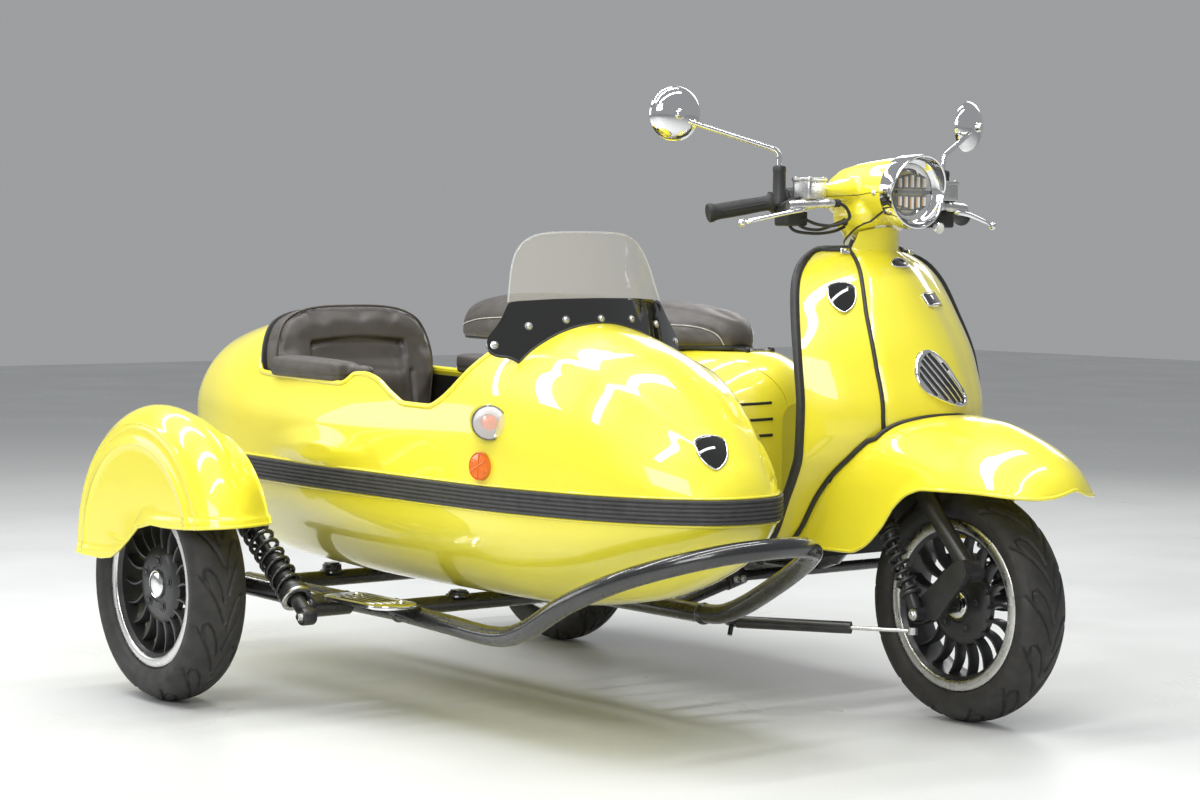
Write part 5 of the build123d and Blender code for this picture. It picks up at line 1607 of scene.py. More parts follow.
def make_engine():
    """Block over the rear axle with cooling fins, and the belt case with its bolted cover on the left."""
    block = prism("block", rounded_outline(0.320, 0.132, 0.020), 0.190, 0.370, "engine_metal", edge=0.010)
    parts = [placed(moved(block, 0.220, 0, 0))]
    for name, length, width, corner, low, high, edge in (
        ("case", 0.400, 0.130, 0.062, 0.076, 0.150, 0.008),
        ("cover", 0.380, 0.110, 0.052, 0.148, 0.1545, 0.0025),
    ):
        outline = [(a + 0.130, b + 0.235) for a, b in rounded_outline(length, width, corner)]
        parts.append(placed(prism(name, outline, low, high, "engine_metal", "Y", edge)))
    for step in range(8):
        fin = prism("fin", rounded_outline(0.006, 0.150, 0.0028, 3), 0.205, 0.355, "engine_metal")
        parts.append(placed(moved(fin, 0.250 + 0.014 * step, 0, 0)))
    gather("engine_dressed", parts, "root", ["engine"])
    bolts = []
    for x, z in ((-0.050, 0.285), (-0.050, 0.185), (0.060, 0.287), (0.060, 0.183), (0.190, 0.287),
                 (0.190, 0.183), (0.300, 0.280), (0.300, 0.190)):
        bolts.append(bolt("bolt", at(x, 0.1540, z), (0, 1, 0), 0.0045, 0.0045, "silver"))
    gather("engine_bolts", bolts, "root")


def make_cockpit_lining():
    """Dark lining inside the sidecar's body, below the rim."""
    xs = np.linspace(0.06, 0.94, 70)
    columns = 24
    top = rim_share(xs) * 0.93
    share = np.linspace(0, 1, columns)[None] * top[:, None]
    for shares, name in ((share, "left"), (1 - share, "right")):
        points = car_surface(np.repeat(xs[:, None], columns, 1), shares, 1, False)
        points[..., 1] = CAR_Y + (points[..., 1] - CAR_Y) * 0.955
        faces = grid_faces(len(xs), columns)
        sheet = skin(f"cockpit_lining_{name}", points, faces, "black_plastic", (0.5, CAR_Y, 0.5), 0.002)
        finish_piece(sheet, "root")


def make_front_shocks():
    """Spring and damper unit on each side of the front wheel."""
    black, bright = [], []
    for side in (-1, 1):
        eye, cap = at(1.320, side * 0.125, 0.2175), at(1.1999, side * 0.125, 0.444)
        way = cap - eye
        length = way.length
        body = [(0.0, 0), (0.006, 0.0100), (0.020, 0.0125), (0.075, 0.0125), (0.077, 0.0060),
                (0.150, 0.0060), (0.152, 0.0160), (0.205, 0.0168), (0.215, 0.0150), (0.228, 0.0120),
                (length, 0.0110), (length, 0)]
        black.append(turned("tube", body, eye, way, "cast_black", 36))
        for low, high, radius in ((0.040, 0.046, 0.0212), (0.176, 0.184, 0.0212)):
            plate = [(low, 0), (low, radius), ((low + high) / 2, radius + 0.0012), (high, radius), (high, 0)]
            black.append(turned("seat", plate, eye, way, "cast_black", 40))
        for step in range(5):
            height = 0.188 + step * 0.006
            ring = [(height, 0.0160), (height + 0.001, 0.0185), (height + 0.003, 0.0185),
                    (height + 0.004, 0.0160)]
            black.append(turned("ring", ring, eye, way, "cast_black", 32))
        start, stop = eye + way * (0.047 / length), eye + way * (0.175 / length)
        black.append(coil("spring", start, stop, 0.0178, 0.0034, 8.5, "cast_black"))
        black.append(turned("eye", rod(-0.012, 0.012, 0.0130), eye, (0, 1, 0), "cast_black", 32))
        bright.append(bolt("bolt", eye + Vector((0, side * 0.012, 0)), (0, side, 0), 0.0075, 0.0070,
                           "silver"))
        bright.append(bolt("bolt", cap + Vector((0, side * 0.012, 0)), (0, side, 0), 0.0065, 0.0060,
                           "silver"))
    gather("front_shocks_dressed", black, "steering", ["front_shocks"])
    gather("front_shock_bolts", bright, "steering")


# Sidecar's tubes, step, suspension
CRASH_LINE = (
    (0.640, -0.868, 0.205), (0.800, -0.868, 0.199), (0.985, -0.868, 0.196), (1.060, -0.867, 0.217),
    (1.170, -0.858, 0.276), (1.290, -0.830, 0.328), (1.390, -0.778, 0.364), (1.450, -0.712, 0.384),
    (1.476, -0.640, 0.391), (1.466, -0.560, 0.388), (1.428, -0.496, 0.373), (1.350, -0.450, 0.338),
    (1.240, -0.418, 0.286), (1.120, -0.402, 0.230), (1.060, -0.400, 0.210), (1.000, -0.400, 0.205),
)
TUBE_RADIUS = 0.019


def make_crash_bar():
    path = spline_points([at(*point) for point in CRASH_LINE], 8)
    finish_piece(tube("crash_bar_dressed", path, TUBE_RADIUS, "black_frame", 28), "root",
                 ["crash_bar"])
    collars = []
    for x, y in ((0.642, -0.868), (1.008, -0.400)):
        ring = [(-0.007, 0.0186), (-0.005, 0.0212), (0.0, 0.0222), (0.005, 0.0212), (0.007, 0.0186)]
        collars.append(turned("weld", ring, at(x, y, 0.205), (1, 0, 0), "black_frame", 40, 60))
    gather("crash_bar_welds", collars, "root")


def make_chassis_details():
    pieces = []
    for x, y, z in ((0.060, -0.868, 0.205), (-0.040, -0.400, 0.205)):
        cap = [(0, 0), (0, 0.0192), (0.004, 0.0190), (0.006, 0.0165), (0.006, 0)]
        pieces.append(turned("plug", cap, at(x, y, z), (-1, 0, 0), "black_plastic", 32))
    gather("rail_plugs", pieces, "root")
    welds = []
    for x in (0.120, 0.600):
        for y, way in ((-0.849, 1), (-0.419, -1)):
            ring = [(-0.004, 0.0168), (-0.003, 0.0195), (0.001, 0.0205), (0.005, 0.0192), (0.007, 0.0168)]
            welds.append(turned("weld", ring, at(x, y, 0.205), (0, way, 0), "black_frame", 32, 60))
    for x, top in ((0.120, 0.239), (0.600, 0.231)):
        for y in (CAR_Y - 0.060, CAR_Y + 0.060):
            foot = [(0, 0), (0, 0.027), (0.004, 0.026), (0.006, 0.021), (top - 0.222, 0.0205),
                    (top - 0.220, 0)]
            welds.append(turned("post", foot, at(x, y, 0.218), (0, 0, 1), "black_frame", 36, 45))
    for x in (0.640, 0.900):
        clamp = [(-0.024, 0), (-0.024, 0.0165), (-0.022, 0.0185), (0.022, 0.0185), (0.024, 0.0165),
                 (0.024, 0)]
        welds.append(turned("clamp", clamp, at(x, -0.232, 0.2515), (0, 1, 0.256), "black_frame", 32, 40))
    gather("chassis_fittings", welds, "root")
    heads = []
    for x in (0.640, 0.900):
        for y in (-0.240, -0.222):
            heads.append(bolt("clamp_bolt", at(x - 0.0180, y, 0.2515), (-1, 0, 0), 0.0050, 0.0060))
            heads.append(bolt("clamp_bolt", at(x + 0.0180, y, 0.2515), (1, 0, 0), 0.0050, 0.0060))
    gather("clamp_bolts", heads, "root")


def make_step():
    outline = []
    for x, y in rounded_outline(0.240, 0.097, 0.040, 10):
        outline.append((0.640 + x, -0.9365 + y))
    plate = prism("step_plate_dressed", outline, 0.2262, 0.2340, "chrome", edge=0.0018)
    ribs = [placed(plate)]
    for k in range(5):
        y = -0.968 + k * 0.014
        rib = prism("step_rib", rounded_outline(0.165 - 0.012 * abs(k - 2), 0.0042, 0.002, 4), 0.2335,
                    0.2358, "chrome", edge=0.0006)
        ribs.append(moved(rib, 0.640 + MOVE[0], y + MOVE[1], MOVE[2]))
    gather("step_plate_dressed", ribs, "root", ["step_plate"])
    brackets = []
    for x in (0.560, 0.720):
        brackets.append(placed(prism("bracket", [(-0.950, 0.2262), (-0.950, 0.2200), (-0.884, 0.1960),
                                                 (-0.872, 0.1960),
                                                 (-0.872, 0.2262)], x - 0.003, x + 0.003, "black_frame", "X",
                                                 0.0008)))
    gather("step_brackets", brackets, "root")
    heads = [bolt("step_bolt", at(x, -0.915, 0.2340), (0, 0, 1), 0.0060, 0.0045, "silver",
                  "pan") for x in (0.560, 0.720)]
    gather("step_bolts", heads, "root")


def make_sidecar_suspension():
    unit_y = -0.996
    low, high = at(0.505, unit_y, 0.190), at(0.262, unit_y, 0.372)
    way = (high - low).normalized()
    span = (high - low).length
    shaft = turned("shock_shaft", [(0.010, 0), (0.010, 0.015), (0.060, 0.015), (0.062, 0.021),
                                   (span * 0.55, 0.021), (span * 0.56, 0.011), (span - 0.012, 0.011),
                                   (span - 0.012, 0)], low, way, "cast_black", 36)
    eyes = [shaft]
    for spot in (low, high):
        eyes.append(turned("eye", [(-0.014, 0.007), (-0.014, 0.0165), (-0.011, 0.018), (0.011, 0.018),
                                   (0.014, 0.0165), (0.014, 0.007)],
                           spot, (0, 1, 0), "cast_black", 32))
    for at_span, radius in ((0.062, 0.031), (span - 0.034, 0.029)):
        eyes.append(turned("seat", [(-0.005, 0), (-0.005, radius), (0.003, radius + 0.001),
                                    (0.005, radius), (0.005, 0)],
                           low + way * at_span, way, "cast_black", 44))
    gather("sidecar_shock_dressed", eyes, "root", ["sidecar_shock"])
    spring = coil("sidecar_spring", low + way * 0.068, high - way * 0.040, 0.0262, 0.0046, 8.5, "black_frame")
    finish_piece(spring, "root")
    ring = turned("sidecar_preload_ring", [(0, 0.022), (0, 0.030), (0.002, 0.0315), (0.007, 0.0315),
                                           (0.009, 0.030), (0.009, 0.022)],
                  low + way * 0.048, way, "silver", 48)
    finish_piece(ring, "root")
    heads = []
    for spot in (low, high):
        heads.append(bolt("shock_bolt", spot + Vector((0, -0.014, 0)), (0, -1, 0), 0.0080, 0.0085))
    gather("sidecar_shock_bolts", heads, "root")
    arm = []
    path = bent_path([at(0.470, -0.930, 0.205), at(0.380, -0.958, 0.216), at(0.216, -1.020, 0.236)], 0.05)
    arm.append(tube("arm", path, 0.0200, "black_frame", 28))
    arm.append(turned("pivot", [(-0.048, 0), (-0.048, 0.0200), (-0.045, 0.0240), (0.045, 0.0240),
                                (0.048, 0.0200), (0.048, 0)],
                      at(0.470, -0.925, 0.205), (0, 1, 0), "black_frame", 40))
    arm.append(turned("hub", [(0.044, 0), (0.044, 0.0240), (0.040, 0.0260), (-0.038, 0.0260),
                              (-0.043, 0.0200), (-0.080, 0.0110),
                              (-0.080, 0)], at(0.216, -1.060, 0.236), (0, 1, 0), "black_frame", 40))
    gather("swing_arm_dressed", arm, "root", ["swing_arm"])
    nut = bolt("arm_nut", at(0.470, -0.973, 0.205), (0, -1, 0), 0.0110, 0.0110)
    finish_piece(nut, "root")


# Upholstery: skins swollen by a short cloth simulation, with seams pressed in afterwards
def vertex_array(piece):
    points = np.empty(len(piece.data.vertices) * 3)
    piece.data.vertices.foreach_get("co", points)
    return points.reshape(-1, 3)


def set_vertices(piece, points):
    piece.data.vertices.foreach_set("co", np.ascontiguousarray(points).ravel())
    piece.data.update()


def remeshed(piece, voxel, rounds=0):
    modifier = piece.modifiers.new("skin", "REMESH")
    modifier.mode = "VOXEL"
    modifier.voxel_size = voxel
    modifier.use_smooth_shade = True
    if rounds:
        soften = piece.modifiers.new("soften", "SMOOTH")
        soften.factor = 0.5
        soften.iterations = rounds
    return apply_modifiers(piece)


def puff(piece, limit, hold, pressure=4.0, voxel=0.006):
    """Swell a cushion's skin, pinned where hold() says so, with no point moving more than the limit."""
    remeshed(piece, voxel, 3)
    rest = vertex_array(piece)
    group = piece.vertex_groups.new(name="held")
    group.add([int(index) for index in np.nonzero(hold(rest))[0]], 1.0, "REPLACE")
    cloth = piece.modifiers.new("swell", "CLOTH")
    cloth.settings.quality = 5
    cloth.settings.mass = 0.3
    cloth.settings.tension_stiffness = 15
    cloth.settings.bending_stiffness = 2.0
    cloth.settings.use_pressure = True
    cloth.settings.uniform_pressure_force = pressure
    cloth.settings.effector_weights.gravity = 0
    cloth.settings.vertex_group_mass = "held"
    for frame_number in range(1, 21):
        bpy.context.scene.frame_set(frame_number)
    apply_modifiers(piece)
    piece.vertex_groups.clear()
    bpy.context.scene.frame_set(1)
    shift = vertex_array(piece) - rest
    size = np.linalg.norm(shift, axis=1)[:, None]
    set_vertices(piece, rest + shift * np.minimum(1, limit / np.maximum(size, 1e-9)))
    modifier = piece.modifiers.new("fine", "SUBSURF")
    modifier.levels = modifier.render_levels = 1
    apply_modifiers(piece)
    for polygon in piece.data.polygons:
        polygon.use_smooth = True
    return piece


def line_distance(points, line):
    best = np.full(len(points), 1e9)
    for start, stop in zip(line, line[1:]):
        start, stop = np.array(start), np.array(stop)
        share = np.clip((points - start) @ (stop - start) / np.dot(stop - start, stop - start), 0, 1)
        best = np.minimum(best, np.linalg.norm(points - start - share[:, None] * (stop - start), axis=1))
    return best


def press(piece, where, line, depth, spread, mask=None):
    """Press a seam along a line into the skin; where gives each vertex's place in the line's own plane."""
    points = vertex_array(piece)
    normals = np.empty(len(points) * 3)
    piece.data.vertex_normals.foreach_get("vector", normals)
    normals = normals.reshape(-1, 3)
    amount = depth * np.exp(-((line_distance(where(points), line) / spread) ** 2))
    if mask is not None:
        amount = amount * mask(points, normals)
    set_vertices(piece, points - normals * amount[:, None])
    return piece


BACK_LEAN = radians(9)
BACK_FOOT = (0.055, CAR_Y, 0.405)
BACK_FROM, BACK_TO = 0.052, 0.118
BACK_HALF = (
    (0.000, 0.160), (0.080, 0.172), (0.160, 0.186), (0.220, 0.199), (0.262, 0.203), (0.295, 0.198),
    (0.325, 0.187), (0.345, 0.173), (0.358, 0.153), (0.368, 0.125), (0.374, 0.085), (0.376, 0.040),
)


def back_outline(grow=0.0):
    right = [(half + grow, height) for height, half in BACK_HALF]
    points = spline_points([(a, b, 0) for a, b in right], 4)
    side = [(point.x, point.y + grow * 0.6) for point in points]
    return side + [(-a, b) for a, b in side[::-1]]


def back_place():
    up = Vector((-sin(BACK_LEAN), 0, cos(BACK_LEAN)))
    out = Vector((cos(BACK_LEAN), 0, sin(BACK_LEAN)))
    turn = Matrix((Vector((0, 1, 0)), up, out)).transposed().to_4x4()
    return Matrix.Translation(at(*BACK_FOOT)) @ turn


def make_backrest():
    pad = prism("sidecar_backrest_dressed", back_outline(-0.003), BACK_FROM + 0.003, BACK_TO - 0.003, "vinyl")
    bevelled(pad, 0.017, 4)
    puff(pad, 0.007, lambda p: p[:, 2] < BACK_FROM + 0.016, 2.5, 0.0074)
    soften = pad.modifiers.new("soften", "SMOOTH")
    soften.factor, soften.iterations = 0.5, 12
    apply_modifiers(pad)
    flat = lambda p: p[:, :2]
    front = lambda p, n: (np.clip(n[:, 2], 0, 1)) ** 0.5 * (p[:, 2] > BACK_FROM + 0.02)
    points = vertex_array(pad)
    across, height = points[:, 0], points[:, 1]
    bolster = np.clip((abs(across) - 0.085) / 0.07, 0, 1) * np.clip((0.30 - height) / 0.08, 0, 1)
    inset = np.clip((0.298 - height) / 0.006, 0, 1) * np.clip((0.120 - abs(across)) / 0.008, 0, 1)
    hollow = inset * np.clip((height - 0.225) / 0.03, 0, 1)
    swell = 0.010 * gauss(height, 0.205, 0.035) * np.clip((0.125 - abs(across)) / 0.03, 0, 1)
    forward = (points[:, 2] > (BACK_FROM + BACK_TO) / 2).astype(float)
    points[:, 2] += forward * (0.012 * bolster - 0.007 * hollow + swell)
    set_vertices(pad, points)
    arch = [(a, 0.2985 - 0.010 * (a / 0.11) ** 2) for a in np.linspace(-0.112, 0.112, 25)]
    press(pad, flat, arch, 0.0060, 0.0042, front)
    for side in (-1, 1):
        press(pad, flat, [(side * 0.112, 0.288), (side * 0.116, 0.278), (side * 0.116, 0.262)], 0.004,
              0.0045, front)
        press(pad, flat, [(side * 0.126, 0.225), (side * 0.128, 0.02)], 0.0070, 0.0045, front)
    press(pad, flat, [(a, 0.232 - 0.006 * (a / 0.1) ** 2) for a in np.linspace(-0.1, 0.1, 15)], 0.003, 0.006,
          front)
    rim = back_outline(-0.013)
    rim = rim + rim[:1]
    edge = lambda p, n: ((p[:, 2] > BACK_TO - 0.022) & (abs(n[:, 2]) < 0.93)).astype(float) * 0.8
    press(pad, flat, rim, 0.0022, 0.0026, edge)
    pad.data.transform(back_place())
    finish_piece(pad, "root", ["sidecar_backrest"])
    piping = [(a, b, BACK_TO - 0.0125) for a, b in back_outline(-0.0065)]
    welt = tube("backrest_welt", piping, 0.0026, "vinyl", 8, closed=True)
    welt.data.transform(back_place())
    finish_piece(welt, "root")
    board = prism("backrest_board", back_outline(-0.002), BACK_FROM - 0.003, BACK_FROM + 0.004,
                  "black_plastic", edge=0.002)
    board.data.transform(back_place())
    finish_piece(board, "root")


def make_cushion():
    base = prism("sidecar_seat_dressed", rounded_outline(0.420, 0.380, 0.055), 0.352, 0.428, "vinyl")
    bevelled(base, 0.022, 4)
    puff(base, 0.014, lambda p: p[:, 2] < 0.362, 4.5, 0.0085)
    crown = lambda p, n: np.clip(n[:, 2], 0, 1) ** 0.5
    flat = lambda p: p[:, :2]
    for across in (-0.112, 0.112):
        press(base, flat, [(-0.175, across), (0.205, across)], 0.008, 0.006, crown)
    for along in (-0.10, -0.035, 0.03, 0.095):
        press(base, flat, [(along, -0.108), (along, 0.108)], 0.005, 0.005, crown)
    side = lambda p: np.stack([p[:, 2], p[:, 2] * 0], 1)
    press(base, side, [(0.402, 0), (0.402, 0.001)], 0.003, 0.003, lambda p,
          n: (abs(n[:, 2]) < 0.8).astype(float))
    moved(base, *at(0.392, CAR_Y, 0))
    finish_piece(base, "root", ["sidecar_seat"])


def make_armrests():
    pads = []
    for side, start in ((-1, 0.150), (1, 0.235)):
        outer = prism("pad", rounded_outline(0.415 - start, 0.060, 0.014), 0.646, 0.688, "vinyl")
        moved(outer, (start + 0.415) / 2, side * 0.206, 0)
        nose = prism("nose", rounded_outline(0.110, 0.032, 0.015), 0.652, 0.682, "vinyl")
        moved(nose, 0.415, side * 0.186, 0)
        pads.append(join("pad", [bevelled(outer, 0.009, 3), bevelled(nose, 0.011, 3)]))
    pad = join("armrest_pads_dressed", pads)
    puff(pad, 0.005, lambda p: p[:, 2] < 0.653, 3.0, 0.006)
    points = vertex_array(pad)
    points[:, 2] -= 0.010 * np.clip((0.190 - points[:, 0]) / 0.065, 0, 1) ** 2 * (points[:, 2] > 0.668)
    points[:, 2] -= 0.004 * np.clip((points[:, 0] - 0.20) / 0.2, 0, 1)
    set_vertices(pad, points)
    level = lambda p: np.stack([p[:, 2] + 0.02 * np.clip(p[:, 0] - 0.2, 0, 1), p[:, 2] * 0], 1)
    press(pad, level, [(0.6585, 0), (0.6585, 0.001)], 0.0022, 0.0022, lambda p,
          n: (abs(n[:, 2]) < 0.7).astype(float))
    moved(pad, *at(0, CAR_Y, 0))
    finish_piece(pad, "root", ["armrest_pads"])


SEAT_FLOOR = 0.705
SEAT_ROWS = (
    (-0.286, 0.070, 0.048), (-0.262, 0.098, 0.074), (-0.220, 0.120, 0.090), (-0.100, 0.136, 0.098),
    (0.020, 0.140, 0.098), (0.140, 0.140, 0.090), (0.230, 0.138, 0.083), (0.330, 0.134, 0.086),
    (0.400, 0.130, 0.089), (0.470, 0.124, 0.083), (0.523, 0.111, 0.077), (0.570, 0.090, 0.075),
    (0.600, 0.073, 0.069), (0.625, 0.054, 0.058), (0.642, 0.037, 0.040), (0.650, 0.020, 0.022),
)
SEAT_PIPING = (
    (-0.250, 0.7320), (-0.150, 0.7480), (0.050, 0.7560), (0.250, 0.7530), (0.420, 0.7545),
    (0.530, 0.7520), (0.580, 0.7490), (0.605, 0.7430), (0.622, 0.7340), (0.632, 0.7230), (0.636, 0.7110),
)


def make_scooter_seat():
    table = smooth_table(SEAT_ROWS)
    xs = np.unique(np.concatenate([np.linspace(-0.286, -0.22, 10), np.linspace(-0.22, 0.57, 60),
                                   np.linspace(0.57, 0.650, 20)]))
    columns = 40
    verts = []
    for x in xs:
        _, half, height = x, *table(np.array([x]))[0]
        for column in range(columns):
            angle = pi * column / (columns - 1)
            y = half * abs(cos(angle)) ** 0.62 * (1 if cos(angle) >= 0 else -1)
            z = height * sin(angle) ** 0.62
            verts.append((x, y, SEAT_FLOOR + z))
    faces = grid_faces(len(xs), columns)
    for row in range(len(xs) - 1):
        faces.append((row * columns, (row + 1) * columns, (row + 2) * columns - 1, (row + 1) * columns - 1))
    faces.append(tuple(range(columns)))
    faces.append(tuple(range((len(xs) - 1) * columns, len(xs) * columns))[::-1])
    seat = outward(link("scooter_seat_dressed", verts, faces, "vinyl"))
    puff(seat, 0.006, lambda p: p[:, 2] < SEAT_FLOOR + 0.009, 3.0, 0.0092)
    tree = BVHTree.FromPolygons([tuple(v.co) for v in seat.data.vertices],
                                [tuple(p.vertices) for p in seat.data.polygons])
    lines = []
    for side in (-1, 1):
        path = spline_points([(x, 0, z) for x, z in SEAT_PIPING], 8)
        found = [tree.ray_cast(Vector((point.x, side * 0.3, point.z)),
                               Vector((0, -side, 0)))[0] for point in path]
        lines.append([spot + Vector((0, side * 0.0004, 0)) for spot in found if spot is not None])
    profile = lambda p: np.stack([p[:, 0], p[:, 2]], 1)
    rails = lambda p, n: np.clip(abs(n[:, 1]) * 1.4, 0, 1)
    press(seat, profile, [(x, z + 0.003) for x, z in SEAT_PIPING], 0.0022, 0.0040, rails)
    across = lambda p: np.stack([p[:, 0], p[:, 0] * 0], 1)
    top = lambda p, n: np.clip(n[:, 2] * 1.5 - 0.2, 0, 1) * (p[:, 2] > 0.757)
    press(seat, across, [(0.215, 0), (0.215, 0.001)], 0.0035, 0.0045, top)
    seat.data.transform(Matrix.Translation(MOVE))
    finish_piece(seat, "seat", ["scooter_seat"])
    threads = [tube("piping", shifted(line), 0.0013, "piping", 8) for line in lines]
    gather("seat_piping", threads, "seat")
    base = []
    outline = [(x, half * 0.93) for x, half, _ in SEAT_ROWS]
    outline += [(x, -half * 0.93) for x, half, _ in SEAT_ROWS[::-1]]
    base.append(prism("pan", outline, 0.7000, 0.7085, "black_plastic", edge=0.0025))
    base.append(prism("hinge_cover", rounded_outline(0.066, 0.050, 0.012), 0.6995, 0.7050, "black_plastic",
                      edge=0.0022))
    moved(base[1], 0.672, 0, 0)
    pan = placed(join("seat_pan", base))
    finish_piece(pan, "seat")


# Headset: lamp barrel, neck and bar wings in one skin, cut square to the steering axis below
HEAD_X = WHEELBASE - 0.310
LAMP_X = HEAD_X + 0.130
LAMP_Z = 1.031
STEER_WAY = Vector((-0.4226, 0, 0.9063))
NECK_CUT = Vector((HEAD_X - 0.0015, 0, 0.933))


def lofted(name, sections, material, sides=40, power=2.0):
    """Closed skin through sections of (centre, half across, half up)."""
    verts = []
    for centre, across, up in sections:
        for side in range(sides):
            a, b = cos(2 * pi * side / sides), sin(2 * pi * side / sides)
            a, b = (abs(value) ** (2 / power) * (1 if value >= 0 else -1) for value in (a, b))
            verts.append(Vector(centre) + Vector(across) * a + Vector(up) * b)
    faces = grid_faces(len(sections), sides, close_columns=True)
    faces.append(tuple(range(sides))[::-1])
    faces.append(tuple(range((len(sections) - 1) * sides, len(sections) * sides)))
    return outward(link(name, verts, faces, material))


def surface_tree(piece):
    corners = [tuple(v.co) for v in piece.data.vertices]
    return BVHTree.FromPolygons(corners, [tuple(p.vertices) for p in piece.data.polygons])


def laid_line(tree, starts, ways, lift=0.0):
    """Where rays meet a surface, each point lifted off along the surface's normal."""
    found = []
    for start, way in zip(starts, ways):
        spot, normal, _, _ = tree.ray_cast(Vector(start), Vector(way))
        if spot is not None:
            normal = normal if normal.dot(Vector(way)) < 0 else -normal
            found.append(spot + normal * lift)
    return found


def cut_flat(piece, spot, way):
    """Drop what lies beyond a plane and close the cut."""
    shape = bmesh.new()
    shape.from_mesh(piece.data)
    every = shape.verts[:] + shape.edges[:] + shape.faces[:]
    cut = bmesh.ops.bisect_plane(shape, geom=every, plane_co=spot, plane_no=way, clear_outer=True)
    rim = [item for item in cut["geom_cut"] if isinstance(item, bmesh.types.BMEdge)]
    bmesh.ops.holes_fill(shape, edges=rim)
    shape.to_mesh(piece.data)
    shape.free()
    return piece


def make_headset():
    barrel_rows = (
        (-0.0935, 1.0240, 0.004), (-0.0920, 1.0245, 0.014), (-0.0850, 1.0255, 0.028),
        (-0.0680, 1.0270, 0.043), (-0.0400, 1.0285, 0.0545), (0.0000, 1.0295, 0.0610),
        (0.0360, 1.0305, 0.0640), (0.0800, LAMP_Z, 0.0675), (0.1280, LAMP_Z, 0.0700),
    )
    barrel = lofted("barrel", [((HEAD_X + x, 0, z), (0, r, 0), (0, 0, r)) for x, z, r in barrel_rows],
                    "yellow_paint", 48)
    neck_rows = (
        (0.010, 0.880, 0.046, 0.044), (0.020, 0.925, 0.048, 0.047), (0.024, 0.945, 0.052, 0.054),
        (0.024, 0.966, 0.065, 0.076), (0.026, 0.985, 0.068, 0.081), (0.030, 1.006, 0.066, 0.074),
        (0.034, 1.030, 0.058, 0.052),
    )
    neck = lofted("neck", [((HEAD_X + x, 0, z), (a, 0, 0), (0, b, 0)) for x, z, a, b in neck_rows],
                  "yellow_paint", 48, 2.3)
    wing_rows = ((0.010, 0.000, 1.036, 0.050, 0.030), (0.014, 0.060, 1.035, 0.044, 0.024),
                 (0.018, 0.095, 1.033, 0.036, 0.018), (0.021, 0.138, 1.030, 0.026, 0.0145),
                 (0.022, 0.146, 1.029, 0.021, 0.011))
    parts = [barrel, neck]
    for side in (-1, 1):
        rows = [((HEAD_X + x, side * y, z), (a, 0, 0), (0, 0, b)) for x, y, z, a, b in wing_rows]
        parts.append(lofted("wing", rows, "yellow_paint", 36, 2.6))
    shell = join("headset_dressed", parts)
    remeshed(shell, 0.0034, 7)
    cut_flat(shell, NECK_CUT, -STEER_WAY)
    for polygon in shell.data.polygons:
        polygon.use_smooth = True
    crease(shell, 50)
    tree = surface_tree(shell)
    seams = []
    for side in (-1, 1):
        xs = np.linspace(HEAD_X - 0.055, HEAD_X + 0.126, 40)
        heights = 1.0230 + (xs - HEAD_X) * 0.063 - 0.010 * gauss(xs, HEAD_X + 0.012, 0.035)
        starts = [(x, side * 0.3, z) for x, z in zip(xs, heights)]
        seams.append(laid_line(tree, starts, [(0, -side, 0)] * len(xs), -0.0003))
    placed(shell)
    finish_piece(shell, "steering", ["headset"])
    lines = [tube("seam", shifted(line), 0.0009, "black_plastic", 6) for line in seams]
    collar = []
    for step in range(48):
        angle = 2 * pi * step / 48
        way = Vector((cos(angle) * STEER_WAY.z, sin(angle), -cos(angle) * STEER_WAY.x))
        spot = tree.ray_cast(NECK_CUT + STEER_WAY * 0.002, way)[0]
        collar.append(spot + STEER_WAY * 0.0008 + MOVE)
    lines.append(tube("collar", collar, 0.0022, "black_plastic", 8, closed=True))
    gather("headset_seams", lines, "steering")
    screws = []
    for side in (-1, 1):
        for x, z, radius, kind in ((HEAD_X + 0.104, 1.0297, 0.0042, "pan"),):
            spot = laid_line(tree, [(x, side * 0.3, z)], [(0, -side, 0)], -0.0006)[0]
            screws.append(bolt("screw", spot + MOVE, (0.1, side, 0.1), radius, 0.0030, "chrome", kind))
    gather("headset_screws", screws, "steering")
    spot = laid_line(tree, [(HEAD_X + 0.030, -0.3, 0.9715)], [(0, 1, 0)], 0.0)[0]
    grommet = turned("cable_grommet", [(-0.003, 0), (-0.003, 0.0075), (0.002, 0.0080), (0.0045, 0.0062),
                                       (0.0045, 0)],
                     spot + MOVE, (-0.2, -1, 0.1), "black_plastic", 24)
    finish_piece(grommet, "steering")
    return spot


